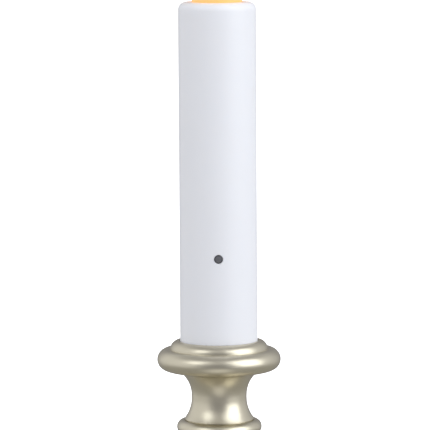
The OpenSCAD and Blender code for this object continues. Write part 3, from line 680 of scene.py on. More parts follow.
def glowing_amber():
    material, tree, shader = start_material("frosted amber polystyrene, lit", Base_Color=rgb("#e9a256"),
        Emission_Strength=GLOW_STRENGTH, Roughness=0.32, IOR=1.59)
    place = add_node(tree, "ShaderNodeTexCoord").outputs["Object"]
    up = add_node(tree, "ShaderNodeSeparateXYZ", Vector=place)
    rise = add_node(tree, "ShaderNodeMapRange", Value=up.outputs["Z"], From_Min=STEM_TOP * MM,
        From_Max=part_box("flame_bulb")[1].z)
    frost = add_node(tree, "ShaderNodeTexNoise", Vector=place, Scale=per_metre(1.2), Detail=3.0)
    wisp_place = add_node(tree, "ShaderNodeMapping", Vector=place, Scale=(1.0, 1.0, 0.22))
    wisp = add_node(tree, "ShaderNodeTexNoise", Vector=wisp_place.outputs["Vector"], Scale=per_metre(5),
        Detail=2.0)
    level = calc(tree, "MULTIPLY_ADD", wisp.outputs["Fac"], 0.14, rise.outputs["Result"])
    glow = add_node(tree, "ShaderNodeValToRGB", Fac=level)
    stops = glow.color_ramp.elements
    stops[0].position, stops[1].position = GLOW_COLOURS[0][0], GLOW_COLOURS[-1][0]
    for position, _ in GLOW_COLOURS[1:-1]:
        stops.new(position)
    for stop, (_, colour) in zip(stops, GLOW_COLOURS):
        stop.color = rgb(colour)
    skin = add_node(tree, "ShaderNodeBump", Strength=0.12, Distance=0.00008, Height=frost.outputs["Fac"])
    tree.links.new(glow.outputs["Color"], shader.inputs["Emission Color"])
    tree.links.new(skin.outputs["Normal"], shader.inputs["Normal"])
    return material


AMBER = glowing_amber()
print("made:", AMBER.name)

# %% Flame bulb
FLAME_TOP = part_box("flame_bulb")[1].z / MM
FLAME_BELLY = 2.0
FLAME_POINT = 1.1
BULB_WALL = 1.1


def flame_r(share):
    return BULB_NECK_R * (1 - share) ** FLAME_POINT * (1 + FLAME_BELLY * share)


def bulb_outline():
    outer, inner = FLAME_TOP - STEM_TOP, FLAME_TOP - STEM_TOP - 1.6 * BULB_WALL
    collar_r, collar_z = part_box("flame_bulb")[1].x / MM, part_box("flame_bulb")[0].z / MM
    points = [(BULB_NECK_R - BULB_WALL, collar_z), (collar_r, collar_z, 0.2), (collar_r, ROOF_Z, 0.2),
        (BULB_NECK_R, ROOF_Z), (BULB_NECK_R, STEM_TOP)]
    shares = [1 - (1 - k / 60) ** 1.5 for k in range(1, 60)]
    points += [(flame_r(s), STEM_TOP + outer * s) for s in shares] + [(0.0, FLAME_TOP)]
    inside = [(flame_r(s) - BULB_WALL, STEM_TOP + inner * s) for s in shares if flame_r(s) > BULB_WALL + 0.1]
    points += [(0.0, inside[-1][1] + 0.4), *reversed(inside), (BULB_NECK_R - BULB_WALL, STEM_TOP)]
    return soften(points)


bulb = turn("flame", bulb_outline(), AMBER, steps=128)
dress(bulb, "sleeve", "bulb_plastic", "flame_bulb")
print("flame is", round(FLAME_TOP - STEM_TOP, 1), "mm tall")

# %% [markdown]
# ## Sensor window
# The light sensor looks out through a small smoked lens. Its colour carries painted shade
# and a painted see-through: the rim is painted nearly black, as a lens looks where it is
# looked through lengthwise, and the middle is painted greyer, as if the pale sensor showed
# through. It is turned upright like the rest, and then laid on its side by the same tree
# that later sets out screws and feet: it puts a unit at each point, turned by the point's
# own attribute.

# %% The tree that sets out copies
def copying_tree():
    """Puts the unit at each vertex, turned by the vertex's attribute."""
    tree, given = start_tree("set out copies", "Set out", Places="Geometry", Unit="Object", Finish="Material")
    unit = add_node(tree, "GeometryNodeObjectInfo", Object=given["Unit"], As_Instance=True)
    turn_of = add_node(tree, "GeometryNodeInputNamedAttribute", {"data_type": "FLOAT_VECTOR"}, Name="turn")
    as_turn = add_node(tree, "FunctionNodeEulerToRotation", Euler=turn_of.outputs["Attribute"])
    copies = add_node(tree, "GeometryNodeInstanceOnPoints", Points=given["Places"],
        Instance=unit.outputs["Geometry"], Rotation=as_turn.outputs["Rotation"])
    return end_tree(tree, copies.outputs["Instances"], given["Finish"])


COPYING = copying_tree()
FORWARD = (math.radians(90), 0, 0)
BACKWARD = (math.radians(-90), 0, 0)
SIDEWAYS = (0, math.radians(90), 0)
UPRIGHT = (0, 0, 0)


def set_out(name, unit, places, turned, material):
    """Copies of a unit at places in mm, all turned alike; the unit itself is used up."""
    mesh = bpy.data.meshes.new(name + "_places")
    mesh.from_pydata([tuple(c * MM for c in place) for place in places], [], [])
    mesh.attributes.new("turn", "FLOAT_VECTOR", "POINT").data.foreach_set("vector",
        list(turned) * len(places))
    piece = grow(name, mesh, COPYING, Unit=unit, Finish=material)
    bpy.data.objects.remove(unit)
    face_out(piece.data)
    return piece


def set_turned(name, outline, steps, places, turned, material):
    """Copies of a piece that is turned from an outline."""
    return set_out(name, turn(name + "_unit", outline, material, steps), places, turned, material)


print("copying tree has", len(COPYING.nodes), "nodes")

# %% Sensor window
# The grey of the middle is painted: it stands in for the pale sensor seen through the lens.
SMOKED_WITH_PAINTED_SHADE = finish("smoked acrylic with painted shade", "#69696d", "#626266", 3, (0.10, 0.14), 0.3, 0.0005, IOR=1.49)
tree, axis = coordinates(SMOKED_WITH_PAINTED_SHADE)
up_from_middle = calc(tree, "SUBTRACT", axis["Z"], SENSOR_Z * MM)
from_middle = add_node(tree, "ShaderNodeCombineXYZ", X=axis["X"], Z=up_from_middle)
out_by = add_node(tree, "ShaderNodeVectorMath", {"operation": "LENGTH"}, i_0=from_middle.outputs["Vector"])
# Painted shade: the lens is darkened towards its rim, where a real lens looks dark only because it is looked
# through lengthwise.
overprint(SMOKED_WITH_PAINTED_SHADE, soft_step(tree, out_by.outputs["Value"], 0.0010, 0.0016), "#3a3a3e")

LENS_R = HOLE_R - 0.05
LENS_IN = -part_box("sensor_window")[1].y / MM
LENS_OUT = -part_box("sensor_window")[0].y / MM
COLLAR_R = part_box("sensor_window")[1].x / MM
DOME_H = 0.42
dome_angles = [math.radians(a) for a in range(80, -1, -8)]
dome = [(LENS_R * math.sin(a), LENS_OUT - DOME_H * (1 - math.cos(a))) for a in dome_angles]
lens_outline = soften([(0.0, LENS_IN), (COLLAR_R, LENS_IN, 0.1), (COLLAR_R, LENS_IN + 0.6, 0.1),
    (LENS_R, LENS_IN + 0.6), *dome[:-1], (0.0, LENS_OUT)])
lens = set_turned("sensor_lens", lens_outline, 64, [(0, 0, SENSOR_Z)], FORWARD, SMOKED_WITH_PAINTED_SHADE)
dress(lens, "sleeve", "window_plastic", "sensor_window")

# %% [markdown]
# ## Pieces that keep the CAD shape
# Many moulded and pressed pieces are already right, except that a CAD edge is perfectly
# sharp and a real one never is. A copy of the CAD mesh is merged, its flat faces are
# joined, and a Bevel modifier rounds every edge by a tenth or two of a millimetre, which is
# what catches the light.

# %% Rounded copies
def eased(name, node, round_mm, material, body, slot):
    """A merged copy of a CAD piece with its edges rounded by round_mm, dressed to stand for it."""
    work = bmesh.new()
    work.from_mesh(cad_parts[node].data)
    bmesh.ops.remove_doubles(work, verts=work.verts, dist=MERGE_WITHIN)
    bmesh.ops.dissolve_limit(work, angle_limit=math.radians(1), verts=work.verts, edges=work.edges)
    mesh = mesh_from(name, work)
    mesh.materials.clear()
    mesh.materials.append(material)
    piece = add_object(name, mesh)
    round_edges(piece, round_mm)
    dress(piece, body, slot, node)
    return piece


BEVEL_SEGMENTS = 2
BEVEL_FROM_DEG = 40


def round_edges(piece, round_mm):
    """Rounds a piece's edges, except the shallow ones of its curved faces."""
    bevel = piece.modifiers.new("round", "BEVEL")
    bevel.width = round_mm * MM
    bevel.segments = BEVEL_SEGMENTS
    bevel.limit_method = "ANGLE"
    bevel.angle_limit = math.radians(BEVEL_FROM_DEG)
    keep_settled(piece)
    face_out(piece.data)


print("edges are rounded with", BEVEL_SEGMENTS, "segments")

# %% [markdown]
# ## Plastics of the inside
# The cradle is white high-impact polystyrene, a little yellower and duller than the
# sleeve. The bottom cover is black ABS from a spark-eroded mould, whose texture
# of half a millimetre shows as a fine pebble. The slider and clip are nylon, and the feet and
# grommet are soft black rubber that hardly shines at all.

# %% Plastics and rubber
CRADLE_WHITE = finish("white moulded polystyrene", "#ecebe6", "#e6e5df", 18, (0.40, 0.50), 0.6, 0.003,
    IOR=1.59)
COVER_BLACK = finish("black ABS, spark-textured", "#2b2b2e", "#232326", 8, (0.48, 0.58), 0.7, 0.05, IOR=1.54)
SLIDER_BLACK = finish("black moulded nylon", "#232327", "#1b1b1e", 3, (0.35, 0.45), 0.4, 0.004, IOR=1.53)
CLIP_NATURAL = finish("natural moulded nylon", "#e4e3dc", "#dcdbd2", 6, (0.38, 0.46), 0.5, 0.003, IOR=1.53)
RUBBER = finish("black moulded rubber", "#1d1d1d", "#151515", 4, (0.75, 0.9), 0.4, 0.02, IOR=1.52)
PAPER_BROWN = finish("brown paper laminate", "#7a5530", "#63421f", 2, (0.5, 0.6), 0.3, 0.006, IOR=1.55)

eased("cradle", "battery_cradle", 0.15, CRADLE_WHITE, "base", "cradle_plastic")
eased("cover", "bottom_cover", 0.2, COVER_BLACK, "base", "cover_plastic")
eased("slider", "switch_slider", 0.1, SLIDER_BLACK, "slider", "slider_plastic")
eased("clip", "bulb_clip", 0.15, CLIP_NATURAL, "sleeve", "clip_plastic")
eased("grommet", "wire_grommet", 0.15, RUBBER, "base", "grommet_rubber")
eased("insulator", "switch_insulator", 0.08, PAPER_BROWN, "base", "insulator_laminate")

# %% [markdown]
# ## Metals of the inside
# Each of these parts is bought in, and has its own bright finish: bright zinc on the screws,
# washers and switch can, yellow zinc on the lamp tube, plain brass on its nuts, tin on
# the lugs and nickel on the battery contacts. The ballast is a raw turned steel ring, grey
# and dull with a trace of rust.

# %% Metals
BRIGHT_ZINC = finish("bright zinc plate on steel", "#c9cccf", "#b7babd", 2, (0.24, 0.34), 0.25, 0.002,
    Metallic=1.0)
YELLOW_ZINC = finish("yellow zinc plate on steel", "#d9b765", "#c79a49", 3, (0.26, 0.36), 0.3, 0.002,
    Metallic=1.0)
BRASS = finish("turned brass", "#d8bb74", "#c9a75c", 4, (0.22, 0.32), 0.25, 0.002, Metallic=1.0)
NICKEL = finish("nickel plate on spring steel", "#cdc9bf", "#bdb9ae", 2, (0.18, 0.26), 0.25, 0.001,
    Metallic=1.0)
TIN = finish("tinned brass and solder", "#cfd0cf", "#b4b5b3", 1, (0.25, 0.4), 0.3, 0.003, Metallic=1.0)
BARE_STEEL = finish("bare turned steel", "#85827d", "#6c655d", 7, (0.42, 0.58), 0.4, 0.01, Metallic=1.0)

eased("ballast", "ballast_ring", 0.4, BARE_STEEL, "base", "ballast_steel")
eased("washers", "tie_washers", 0.12, BRIGHT_ZINC, "base", "zinc_steel")
eased("switch_case", "switch_can", 0.12, BRIGHT_ZINC, "base", "switch_steel")
eased("lugs", "switch_lugs", 0.08, TIN, "base", "lug_brass")
eased("top_contact", "positive_contact", 0.08, NICKEL, "base", "contact_steel")

# %% [markdown]
# ## Screws, nuts, feet and the lamp tube
# A pan head screw is turned, thread and all, and then its cross recess is cut. The thread is
# a stack of ridges: at this size nobody can tell it from a helix. The lamp tube
# is bigger and its thread shows, so it gets a true helix: the radius of each point depends
# on how far it lies from the thread's line, which climbs one pitch a turn.

# %% Screws
def screw_unit(head_r, head_h, shank_r, shank_l, pitch=0.5):
    """A screw whose head's face lies at z = 0 and whose shank points up."""
    outline = [(0.0, 0.0), (head_r * 0.62, 0.02), (head_r * 0.9, head_h * 0.28), (head_r, head_h * 0.62),
        (head_r, head_h, 0.08), (shank_r, head_h)]
    turns = int((shank_l - 0.6) / pitch)
    for k in range(turns):
        outline += [(shank_r, head_h + (k + 0.3) * pitch), (shank_r * 0.78, head_h + (k + 0.8) * pitch)]
    outline += [(shank_r * 0.7, head_h + shank_l - 0.4), (0.0, head_h + shank_l)]
    unit = turn("screw_unit", soften(outline), BRIGHT_ZINC, steps=32)
    long, wide, deep = head_r * 0.6 * MM, head_r * 0.15 * MM, head_h * 0.6 * MM
    for x, y in ((long, wide), (wide, long)):
        cut(unit, block("recess", (-x, -y, -0.001), (x, y, deep)))
    return unit


def ring_of(count, radius, z, first_deg):
    """Places spread evenly on a ring."""
    angles = [math.radians(first_deg + i * 360 / count) for i in range(count)]
    return [(radius * math.cos(a), radius * math.sin(a), z) for a in angles]


BOARD_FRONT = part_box("control_board")[0].y / MM
BOARD_LOW, BOARD_TOP = (corner.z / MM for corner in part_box("control_board"))
BOARD_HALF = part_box("control_board")[1].x / MM
BOSS_RING_R = 15.0
COVER_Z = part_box("bottom_cover")[0].z / MM
ear_x = (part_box("switch_screws")[1].x / MM) - 1.4
screw_sets = (("cover_screw_set", "cover_screws", (2.6, 1.1, 1.25, 5.0),
    ring_of(3, BOSS_RING_R, COVER_Z, 90), UPRIGHT), ("switch_screw_set", "switch_screws",
    (1.4, 0.8, 0.8, 1.9), [(side * ear_x, 0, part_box("switch_screws")[1].z / MM) for side in (-1, 1)],
    (math.radians(180), 0, 0)), ("board_screw_set", "board_screws", (1.6, 0.9, 0.8, 3.1),
    [(0, BOARD_FRONT - 0.9, z) for z in (BOARD_LOW + 4, BOARD_TOP - 4)], BACKWARD))
for name, node, sizes, places, turned in screw_sets:
    screws = set_out(name, screw_unit(*sizes), places, turned, BRIGHT_ZINC)
    dress(screws, "base", "zinc_steel", node)

# %% Lamp tube and nuts
def threaded_tube(name, low, high, r_out, r_in, pitch, material, rows_a_turn=8, steps=48):
    """A tube with a helical thread outside, sizes in mm."""
    angles = [2 * math.pi * k / steps for k in range(steps)]
    rows = int((high - low) / pitch * rows_a_turn)
    points, faces = [], []
    for row in range(rows + 1):
        z = low + (high - low) * row / rows
        for k, angle in enumerate(angles):
            phase = (z / pitch - k / steps) % 1.0
            radius = r_out - 0.55 * pitch * abs(2 * phase - 1) if 0 < row < rows else r_out - 0.5 * pitch
            points.append((radius * MM * math.cos(angle), radius * MM * math.sin(angle), z * MM))
    for z in (high, low):
        points += [(r_in * MM * math.cos(a), r_in * MM * math.sin(a), z * MM) for a in angles]
    order = list(range(rows + 3)) + [0]
    for a, b in zip(order, order[1:]):
        faces += [(a * steps + k, a * steps + (k + 1) % steps, b * steps + (k + 1) % steps, b * steps + k)
            for k in range(steps)]
    mesh = bpy.data.meshes.new(name)
    mesh.from_pydata(points, [], faces)
    mesh.materials.append(material)
    face_out(mesh)
    return add_object(name, mesh)


tube_low, tube_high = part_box("tie_tube")
lamp_tube = threaded_tube("lamp_tube", tube_low.z / MM, tube_high.z / MM, TUBE_R, 3.5, 1.0, YELLOW_ZINC)
dress(lamp_tube, "base", "tube_brass", "tie_tube")

NUT_FLATS = 15.0
NUT_H = 4.5
nut_low, nut_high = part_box("tie_nuts")
corner_r = NUT_FLATS / math.sqrt(3)
nut = rod("nut_unit", (0, 0, 0), (0, 0, NUT_H * MM), corner_r, corner_r, sides=6)
chamfer = soften([(0, 0), (corner_r - 1.1, 0), (corner_r, 0.65), (corner_r, NUT_H - 0.65),
    (corner_r - 1.1, NUT_H), (0, NUT_H)])
cut(nut, turn("chamfer", chamfer, BRASS, steps=96), "INTERSECT")
bore = soften([(0, -1), (TUBE_R + 0.5, -1), (TUBE_R + 0.05, 0.5), (TUBE_R + 0.05, NUT_H - 0.5),
    (TUBE_R + 0.5, NUT_H + 1), (0, NUT_H + 1)])
cut(nut, turn("bore", bore, BRASS, steps=96))
nuts = set_out("nuts", nut, [(0, 0, nut_low.z / MM), (0, 0, nut_high.z / MM - NUT_H)], UPRIGHT, BRASS)
dress(nuts, "base", "nut_brass", "tie_nuts")

# %% [markdown]
# ## Wires and springs
# A wire and a spring are both a round section swept along a path. One tree smooths the path
# through its points and sweeps the section, and the spring's tree gets its path from a
# spiral instead. The routes repeat those of the CAD solids, and start and end in the
# same solder joints.

# %% The wire tree
def sweeping_tree(name, from_spiral):
    """Sweeps a round section along given points, or along a spiral set up on a point."""
    sizes = {"Rounds": "Float", "Coil_radius": "Float", "Rise": "Float"} if from_spiral else {}
    tree, given = start_tree(name, "Swept", Route="Geometry", Thickness="Float", **sizes, Sides="Int",
        Fineness="Int", Finish="Material")
    if from_spiral:
        spiral = add_node(tree, "GeometryNodeCurveSpiral", Resolution=given["Fineness"],
            Rotations=given["Rounds"], Start_Radius=given["Coil radius"], End_Radius=given["Coil radius"],
            Height=given["Rise"])
        line = add_node(tree, "GeometryNodeInstanceOnPoints", Points=given["Route"],
            Instance=spiral.outputs["Curve"])
        path = add_node(tree, "GeometryNodeRealizeInstances", Geometry=line.outputs["Instances"])
    else:
        line = add_node(tree, "GeometryNodeMeshToCurve", Mesh=given["Route"])
        smooth = add_node(tree, "GeometryNodeCurveSplineType", {"spline_type": "CATMULL_ROM"},
            Curve=line.outputs["Curve"])
        path = add_node(tree, "GeometryNodeSetSplineResolution", Geometry=smooth.outputs["Curve"],
            Resolution=given["Fineness"])
    section = add_node(tree, "GeometryNodeCurvePrimitiveCircle", Resolution=given["Sides"],
        Radius=given["Thickness"])
    swept = add_node(tree, "GeometryNodeCurveToMesh", Curve=path.outputs["Geometry"],
        Profile_Curve=section.outputs["Curve"], Fill_Caps=True)
    return end_tree(tree, swept.outputs["Mesh"], given["Finish"])


WIRING = sweeping_tree("sweep along points", False)
COILING = sweeping_tree("sweep along a spiral", True)


def wires(name, routes, radius_mm, material, sides=12, fineness=6):
    """Round wires along routes of points in mm."""
    points, edges = [], []
    for route in routes:
        first = len(points)
        points += [tuple(c * MM for c in p) for p in route]
        edges += [(first + i, first + i + 1) for i in range(len(route) - 1)]
    mesh = bpy.data.meshes.new(name + "_route")
    mesh.from_pydata(points, edges, [])
    piece = grow(name, mesh, WIRING, Thickness=radius_mm * MM, Sides=sides, Fineness=fineness,
        Finish=material)
    face_out(piece.data, 60.0)
    return piece


def mirrored(route):
    """A route and its mirror image."""
    return [[(side * x, y, z) for x, y, z in route] for side in (-1, 1)]


print("two sweeping trees of", len(WIRING.nodes), "and", len(COILING.nodes), "nodes")

# %% [markdown]
# ## Marks and feet under the cover
# The cover is moulded with a frame around the switch's slot, a dot at its on end and a ring
# at its off end, all standing up by a hair so that a finger finds them in the dark. The
# frame is a wire sunk to its middle, and dot and ring are turned. The four rubber feet are
# one turned button with a dimple, set out on a ring.

# %% Marks on the cover
SLOT_LONG, SLOT_WIDE = 5.9, 3.2
MARK_X = 8.0
MARK_IN, MARK_OUT = COVER_Z + 0.1, COVER_Z - 0.15
slot_line = [(-SLOT_LONG, -SLOT_WIDE), (SLOT_LONG, -SLOT_WIDE), (SLOT_LONG, SLOT_WIDE),
    (-SLOT_LONG, SLOT_WIDE), (-SLOT_LONG, -SLOT_WIDE), (-SLOT_LONG + 0.5, -SLOT_WIDE)]
slot_route = [(x, y, COVER_Z + 0.12) for x, y in slot_line]
dress(wires("slot_frame", [slot_route], 0.28, COVER_BLACK, fineness=1), "base", "cover_plastic")
for name, x, r_in, r_out, ease in (("on_mark", MARK_X, 0, 0.8, 0.1), ("off_mark", -MARK_X, 0.6, 0.95, 0.05)):
    side = soften([(r_in, MARK_OUT), (r_out, MARK_OUT, ease), (r_out, MARK_IN), (r_in, MARK_IN)])
    dress(set_turned(name, side, 32, [(x, 0, 0)], UPRIGHT, COVER_BLACK), "base", "cover_plastic")

# %% Rubber feet
RUBBER_R = 4.0
FOOT_PAD_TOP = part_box("rubber_feet")[1].z / MM
pad_ring_r = (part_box("rubber_feet")[1].x / MM - RUBBER_R) * math.sqrt(2)
pad_outline = soften([(0.0, 0.12), (1.4, 0.12), (1.8, 0.0), (RUBBER_R, 0.0, 0.35),
    (RUBBER_R, FOOT_PAD_TOP, 0.15), (0.0, FOOT_PAD_TOP)])
pads = set_turned("rubber_pads", pad_outline, 64, ring_of(4, pad_ring_r, 0, 45), UPRIGHT, RUBBER)
dress(pads, "base", "foot_rubber", "rubber_feet")

# %% [markdown]
# ## Cells
# An AA cell is a steel can in a shrunk plastic jacket, whose ends curl over the can's edges.
# The button end is stepped, and the jacket is printed with a plain band and a plus
# sign near it. Jacket and can are two turned outlines, each set out twice,
# one cell on the other.

# %% Cells
CELL_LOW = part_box("lower_cell")[0].z / MM
CELL_LEN = (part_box("lower_cell")[1].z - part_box("lower_cell")[0].z) / MM
CELL_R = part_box("lower_cell")[1].x / MM
CELL_Y = (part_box("lower_cell")[0].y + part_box("lower_cell")[1].y) / 2 / MM
SHOULDER = CELL_LEN - 1.2
CAN_R = CELL_R - 0.15
BAND_Z, LINE_Z, PLUS_Z = 44.0, 37.6, 43.6
PRINT_GREY = "#c8cbce"
can_outline = soften([(0, 0), (4.6, 0, 0.2), (4.9, 0.2), (6.9, 0.2, 0.2), (CAN_R, 0.7),
    (CAN_R, SHOULDER - 0.6), (6.6, SHOULDER - 0.15, 0.2), (4.4, SHOULDER - 0.15), (4.1, SHOULDER - 0.45),
    (3.2, SHOULDER - 0.45), (2.75, SHOULDER - 0.1), (2.75, CELL_LEN, 0.35), (0, CELL_LEN)])
jacket_outline = soften([(5.9, 0.16), (5.9, 0.04), (CELL_R, 0.04, 0.5), (CELL_R, SHOULDER, 0.5),
    (5.6, SHOULDER, 0.1), (5.6, SHOULDER - 0.12), (CELL_R - 0.12, SHOULDER - 0.12, 0.4),
    (CELL_R - 0.12, 0.16, 0.4)])
cell_places = [(0, CELL_Y, CELL_LOW + k * CELL_LEN) for k in range(2)]

JACKET = finish("printed PVC shrink sleeve", "#2f6288", "#2b5b80", 12, (0.22, 0.3), 0.8, 0.002, IOR=1.53,
    Coat_Weight=0.3, Coat_Roughness=0.12)
tree, axis = coordinates(JACKET)
above = calc(tree, "SUBTRACT", axis["Z"], CELL_LOW * MM)
along = calc(tree, "MODULO", above, CELL_LEN * MM)
behind = calc(tree, "GREATER_THAN", axis["Y"], CELL_Y * MM)
overprint(JACKET, near(tree, along, BAND_Z, 5.4), PRINT_GREY)
overprint(JACKET, near(tree, along, LINE_Z, 0.35), PRINT_GREY)
for reach_x, reach_z in ((1.8, 0.45), (0.45, 1.8)):
    bar = both(tree, near(tree, axis["X"], 0.0, reach_x), near(tree, along, PLUS_Z, reach_z))
    overprint(JACKET, both(tree, bar, behind), "#2a4a63")
cans = set_turned("cell_cans", can_outline, 96, cell_places, UPRIGHT, NICKEL)
jackets = set_turned("cell_jackets", jacket_outline, 96, cell_places, UPRIGHT, JACKET)
dress(cans, "base", "contact_steel")
dress(jackets, "base", "cell_jacket", "lower_cell", "upper_cell")

# %% [markdown]
# ## Spring contact
# Under the cells a spring pushes them against the plate at the top. Its tree sweeps a
# spiral of three rounds that stands on one point, and a small plate carries it.

# %% Spring
SPRING_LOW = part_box("negative_spring")[0].z / MM
PLATE_T = 0.4
SPRING_WIRE = 0.4
spring_seat = bpy.data.meshes.new("spring_seat")
spring_seat.from_pydata([(0, CELL_Y * MM, (SPRING_LOW + PLATE_T + SPRING_WIRE - 0.05) * MM)], [], [])
coil = grow("spring_coil", spring_seat, COILING, Thickness=SPRING_WIRE * MM, Rounds=3.0, Coil_radius=3.4 * MM,
    Rise=(CELL_LOW - SPRING_LOW - PLATE_T - 2 * SPRING_WIRE) * MM, Sides=10, Fineness=32, Finish=NICKEL)
face_out(coil.data, 60.0)
dress(coil, "base", "contact_steel", "negative_spring")
plate = block("spring_plate", (-0.0045, (CELL_Y - 4.5) * MM, SPRING_LOW * MM),
    (0.0045, (CELL_Y + 4.5) * MM, (SPRING_LOW + PLATE_T) * MM))
plate.data.materials.append(NICKEL)
round_edges(plate, 0.1)
dress(plate, "base", "contact_steel")

# %% [markdown]
# ## Wires
# Each wire is stranded copper in a soft coloured sleeve: white from the switch up through
# the lamp tube, red and black from the cells, yellow to the lamp. A route is a short list
# of points, named by the pieces that it passes, and the tree rounds its bends.

# %% Wires
WIRE_COLOURS = {"white": ("#dcdcd6", "#d2d2cb"), "red": ("#b52a24", "#a5221d"),
    "black": ("#202022", "#18181a"), "yellow": ("#dcae35", "#cfa02b")}
INSULATION = {colour: finish(f"{colour} PVC wire insulation", *shades, 5, (0.38, 0.46), 0.5, 0.003, IOR=1.53)
    for colour, shades in WIRE_COLOURS.items()}
WIRE_R = 0.6
LAMP_WIRE_R = 0.5
LUG_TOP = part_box("switch_lugs")[1].z / MM
TUBE_TOP = tube_high.z / MM
BAY_Z = SPRING_LOW - 1.5
CELLS_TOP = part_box("positive_contact")[0].z / MM
ROOF_LOW, ROOF_TOP = CELLS_TOP + PLATE_T, CELLS_TOP + PLATE_T + 1.5
CRADLE_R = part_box("battery_cradle")[1].x / MM
CHANNEL_X = CRADLE_R - 2.6
WIRE_HOLE_Y = 4.5 - CRADLE_R
POST_R = 6.4
FRONT_Y = 1.6 - (STEM_R - SLEEVE_WALL)
LED_BOARD_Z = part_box("led_board")[0].z / MM
LEAD_GAP = 1.27

up_the_tube = mirrored([(3.6, 0.9, LUG_TOP - 1.2), (3.6, 0.9, LUG_TOP + 0.6), (3, 0.8, LUG_TOP + 3),
    (1.4, 0.4, LUG_TOP + 6), (1.1, 0, LUG_TOP + 9), (1.1, 0, DECK_Z + 8), (1.1, 0, TUBE_TOP - 2),
    (1, -0.3, TUBE_TOP + 0.6), (0.9, -1.6, TUBE_TOP + 1.9), (0.85, -4, TUBE_TOP + 2.4),
    (0.85, WIRE_HOLE_Y + 1.9, TUBE_TOP + 2.8), (0.85, WIRE_HOLE_Y + 0.5, BAY_Z + 0.2),
    (0.9, WIRE_HOLE_Y, BAY_Z + 2.5), (1.1, WIRE_HOLE_Y, BOARD_LOW - 4),
    (1.6, BOARD_FRONT - 1.4, BOARD_LOW - 1), (1.8, BOARD_FRONT - 1, BOARD_LOW + 1),
    (1.8, BOARD_FRONT - 0.7, BOARD_LOW + 2)])
plus_lead = [(CHANNEL_X - 1.2, CELL_Y - 4.6, CELLS_TOP - 0.7), (CHANNEL_X, -1, CELLS_TOP - 3),
    (CHANNEL_X, -1.1, CELLS_TOP - 8), (CHANNEL_X, -1.1, BOARD_TOP + 9),
    (CHANNEL_X - 0.6, -2.6, BOARD_TOP + 4), (CHANNEL_X - 2, BOARD_FRONT - 0.9, BOARD_TOP + 0.6),
    (BOARD_HALF - 2.6, BOARD_FRONT - 0.8, BOARD_TOP - 2.4)]
minus_lead = [(0.6 - CHANNEL_X, -0.6, SPRING_LOW + 1.6), (-CHANNEL_X, -1, BAY_Z + 5.5),
    (0.3 - CHANNEL_X, -1.8, BAY_Z + 8), (1.6 - CHANNEL_X, BOARD_FRONT - 0.8, BOARD_LOW - 1.6),
    (2.6 - BOARD_HALF, BOARD_FRONT - 0.9, BOARD_LOW + 1.2), (2.6 - BOARD_HALF, BOARD_FRONT - 0.7,
    BOARD_LOW + 2.4)]
to_lamp = mirrored([(3, BOARD_FRONT - 0.7, BOARD_TOP - 7), (3, BOARD_FRONT - 1, BOARD_TOP - 5),
    (2.9, BOARD_FRONT - 1.2, BOARD_TOP + 3), (1.8, BOARD_FRONT - 1.4, ROOF_LOW - 16),
    (1.3, FRONT_Y + 1.8, ROOF_LOW - 5), (1.2, FRONT_Y + 1.8, ROOF_TOP), (1.1, -POST_R - 1.4, ROOF_TOP + 2),
    (1, -POST_R + 0.8, ROOF_TOP + 2.8), (1, -2.6, ROOF_TOP + 3.6), (1, -1.8, ROOF_TOP + 6),
    (LEAD_GAP, -1.1, LED_BOARD_Z - 3), (LEAD_GAP, -0.9, LED_BOARD_Z - 0.6)])
for name, routes, radius, colour, *slot_and_nodes in (
        ("switch_leads", up_the_tube, WIRE_R, "white", "white_wire", "switch_wires"),
        ("plus_wire", [plus_lead], WIRE_R, "red", "red_black_wire", "battery_wires"),
        ("minus_wire", [minus_lead], WIRE_R, "black", "red_black_wire"),
        ("lamp_leads", to_lamp, LAMP_WIRE_R, "yellow", "yellow_wire", "led_wires")):
    dress(wires(name, routes, radius, INSULATION[colour]), "base", *slot_and_nodes)

# %% [markdown]
# ## Control board
# The board is glass-fibre laminate under a green solder mask, whose weave just shows. Its
# copper tracks stand up by a few hundredths of a millimetre under the mask, so they are
# real ridges here: round wires sunk almost to their tops. Solder joints are small turned
# cones, set out wherever a wire or a lead meets the board.

# %% Boards, tracks and solder
WEAVE_SHOWS = 0.12


def solder_mask():
    material = finish("green solder mask on glass-fibre laminate", "#1f6e3e", "#1a6236", 6, (0.22, 0.3), 0.6,
        0.002, IOR=1.55, Coat_Weight=0.4, Coat_Roughness=0.15)
    tree, axis = coordinates(material)
    place = add_node(tree, "ShaderNodeTexCoord").outputs["Object"]
    for direction in ("X", "Z"):
        thread = add_node(tree, "ShaderNodeTexWave", {"bands_direction": direction}, Vector=place,
            Scale=per_metre(0.6) / 20, Distortion=1.0)
        overprint(material, calc(tree, "MULTIPLY", thread.outputs["Fac"], WEAVE_SHOWS), "#3f8f58")
    return material


GREEN_BOARD = solder_mask()
eased("main_board", "control_board", 0.1, GREEN_BOARD, "base", "board_laminate")
eased("lamp_board", "led_board", 0.1, GREEN_BOARD, "base", "board_laminate")

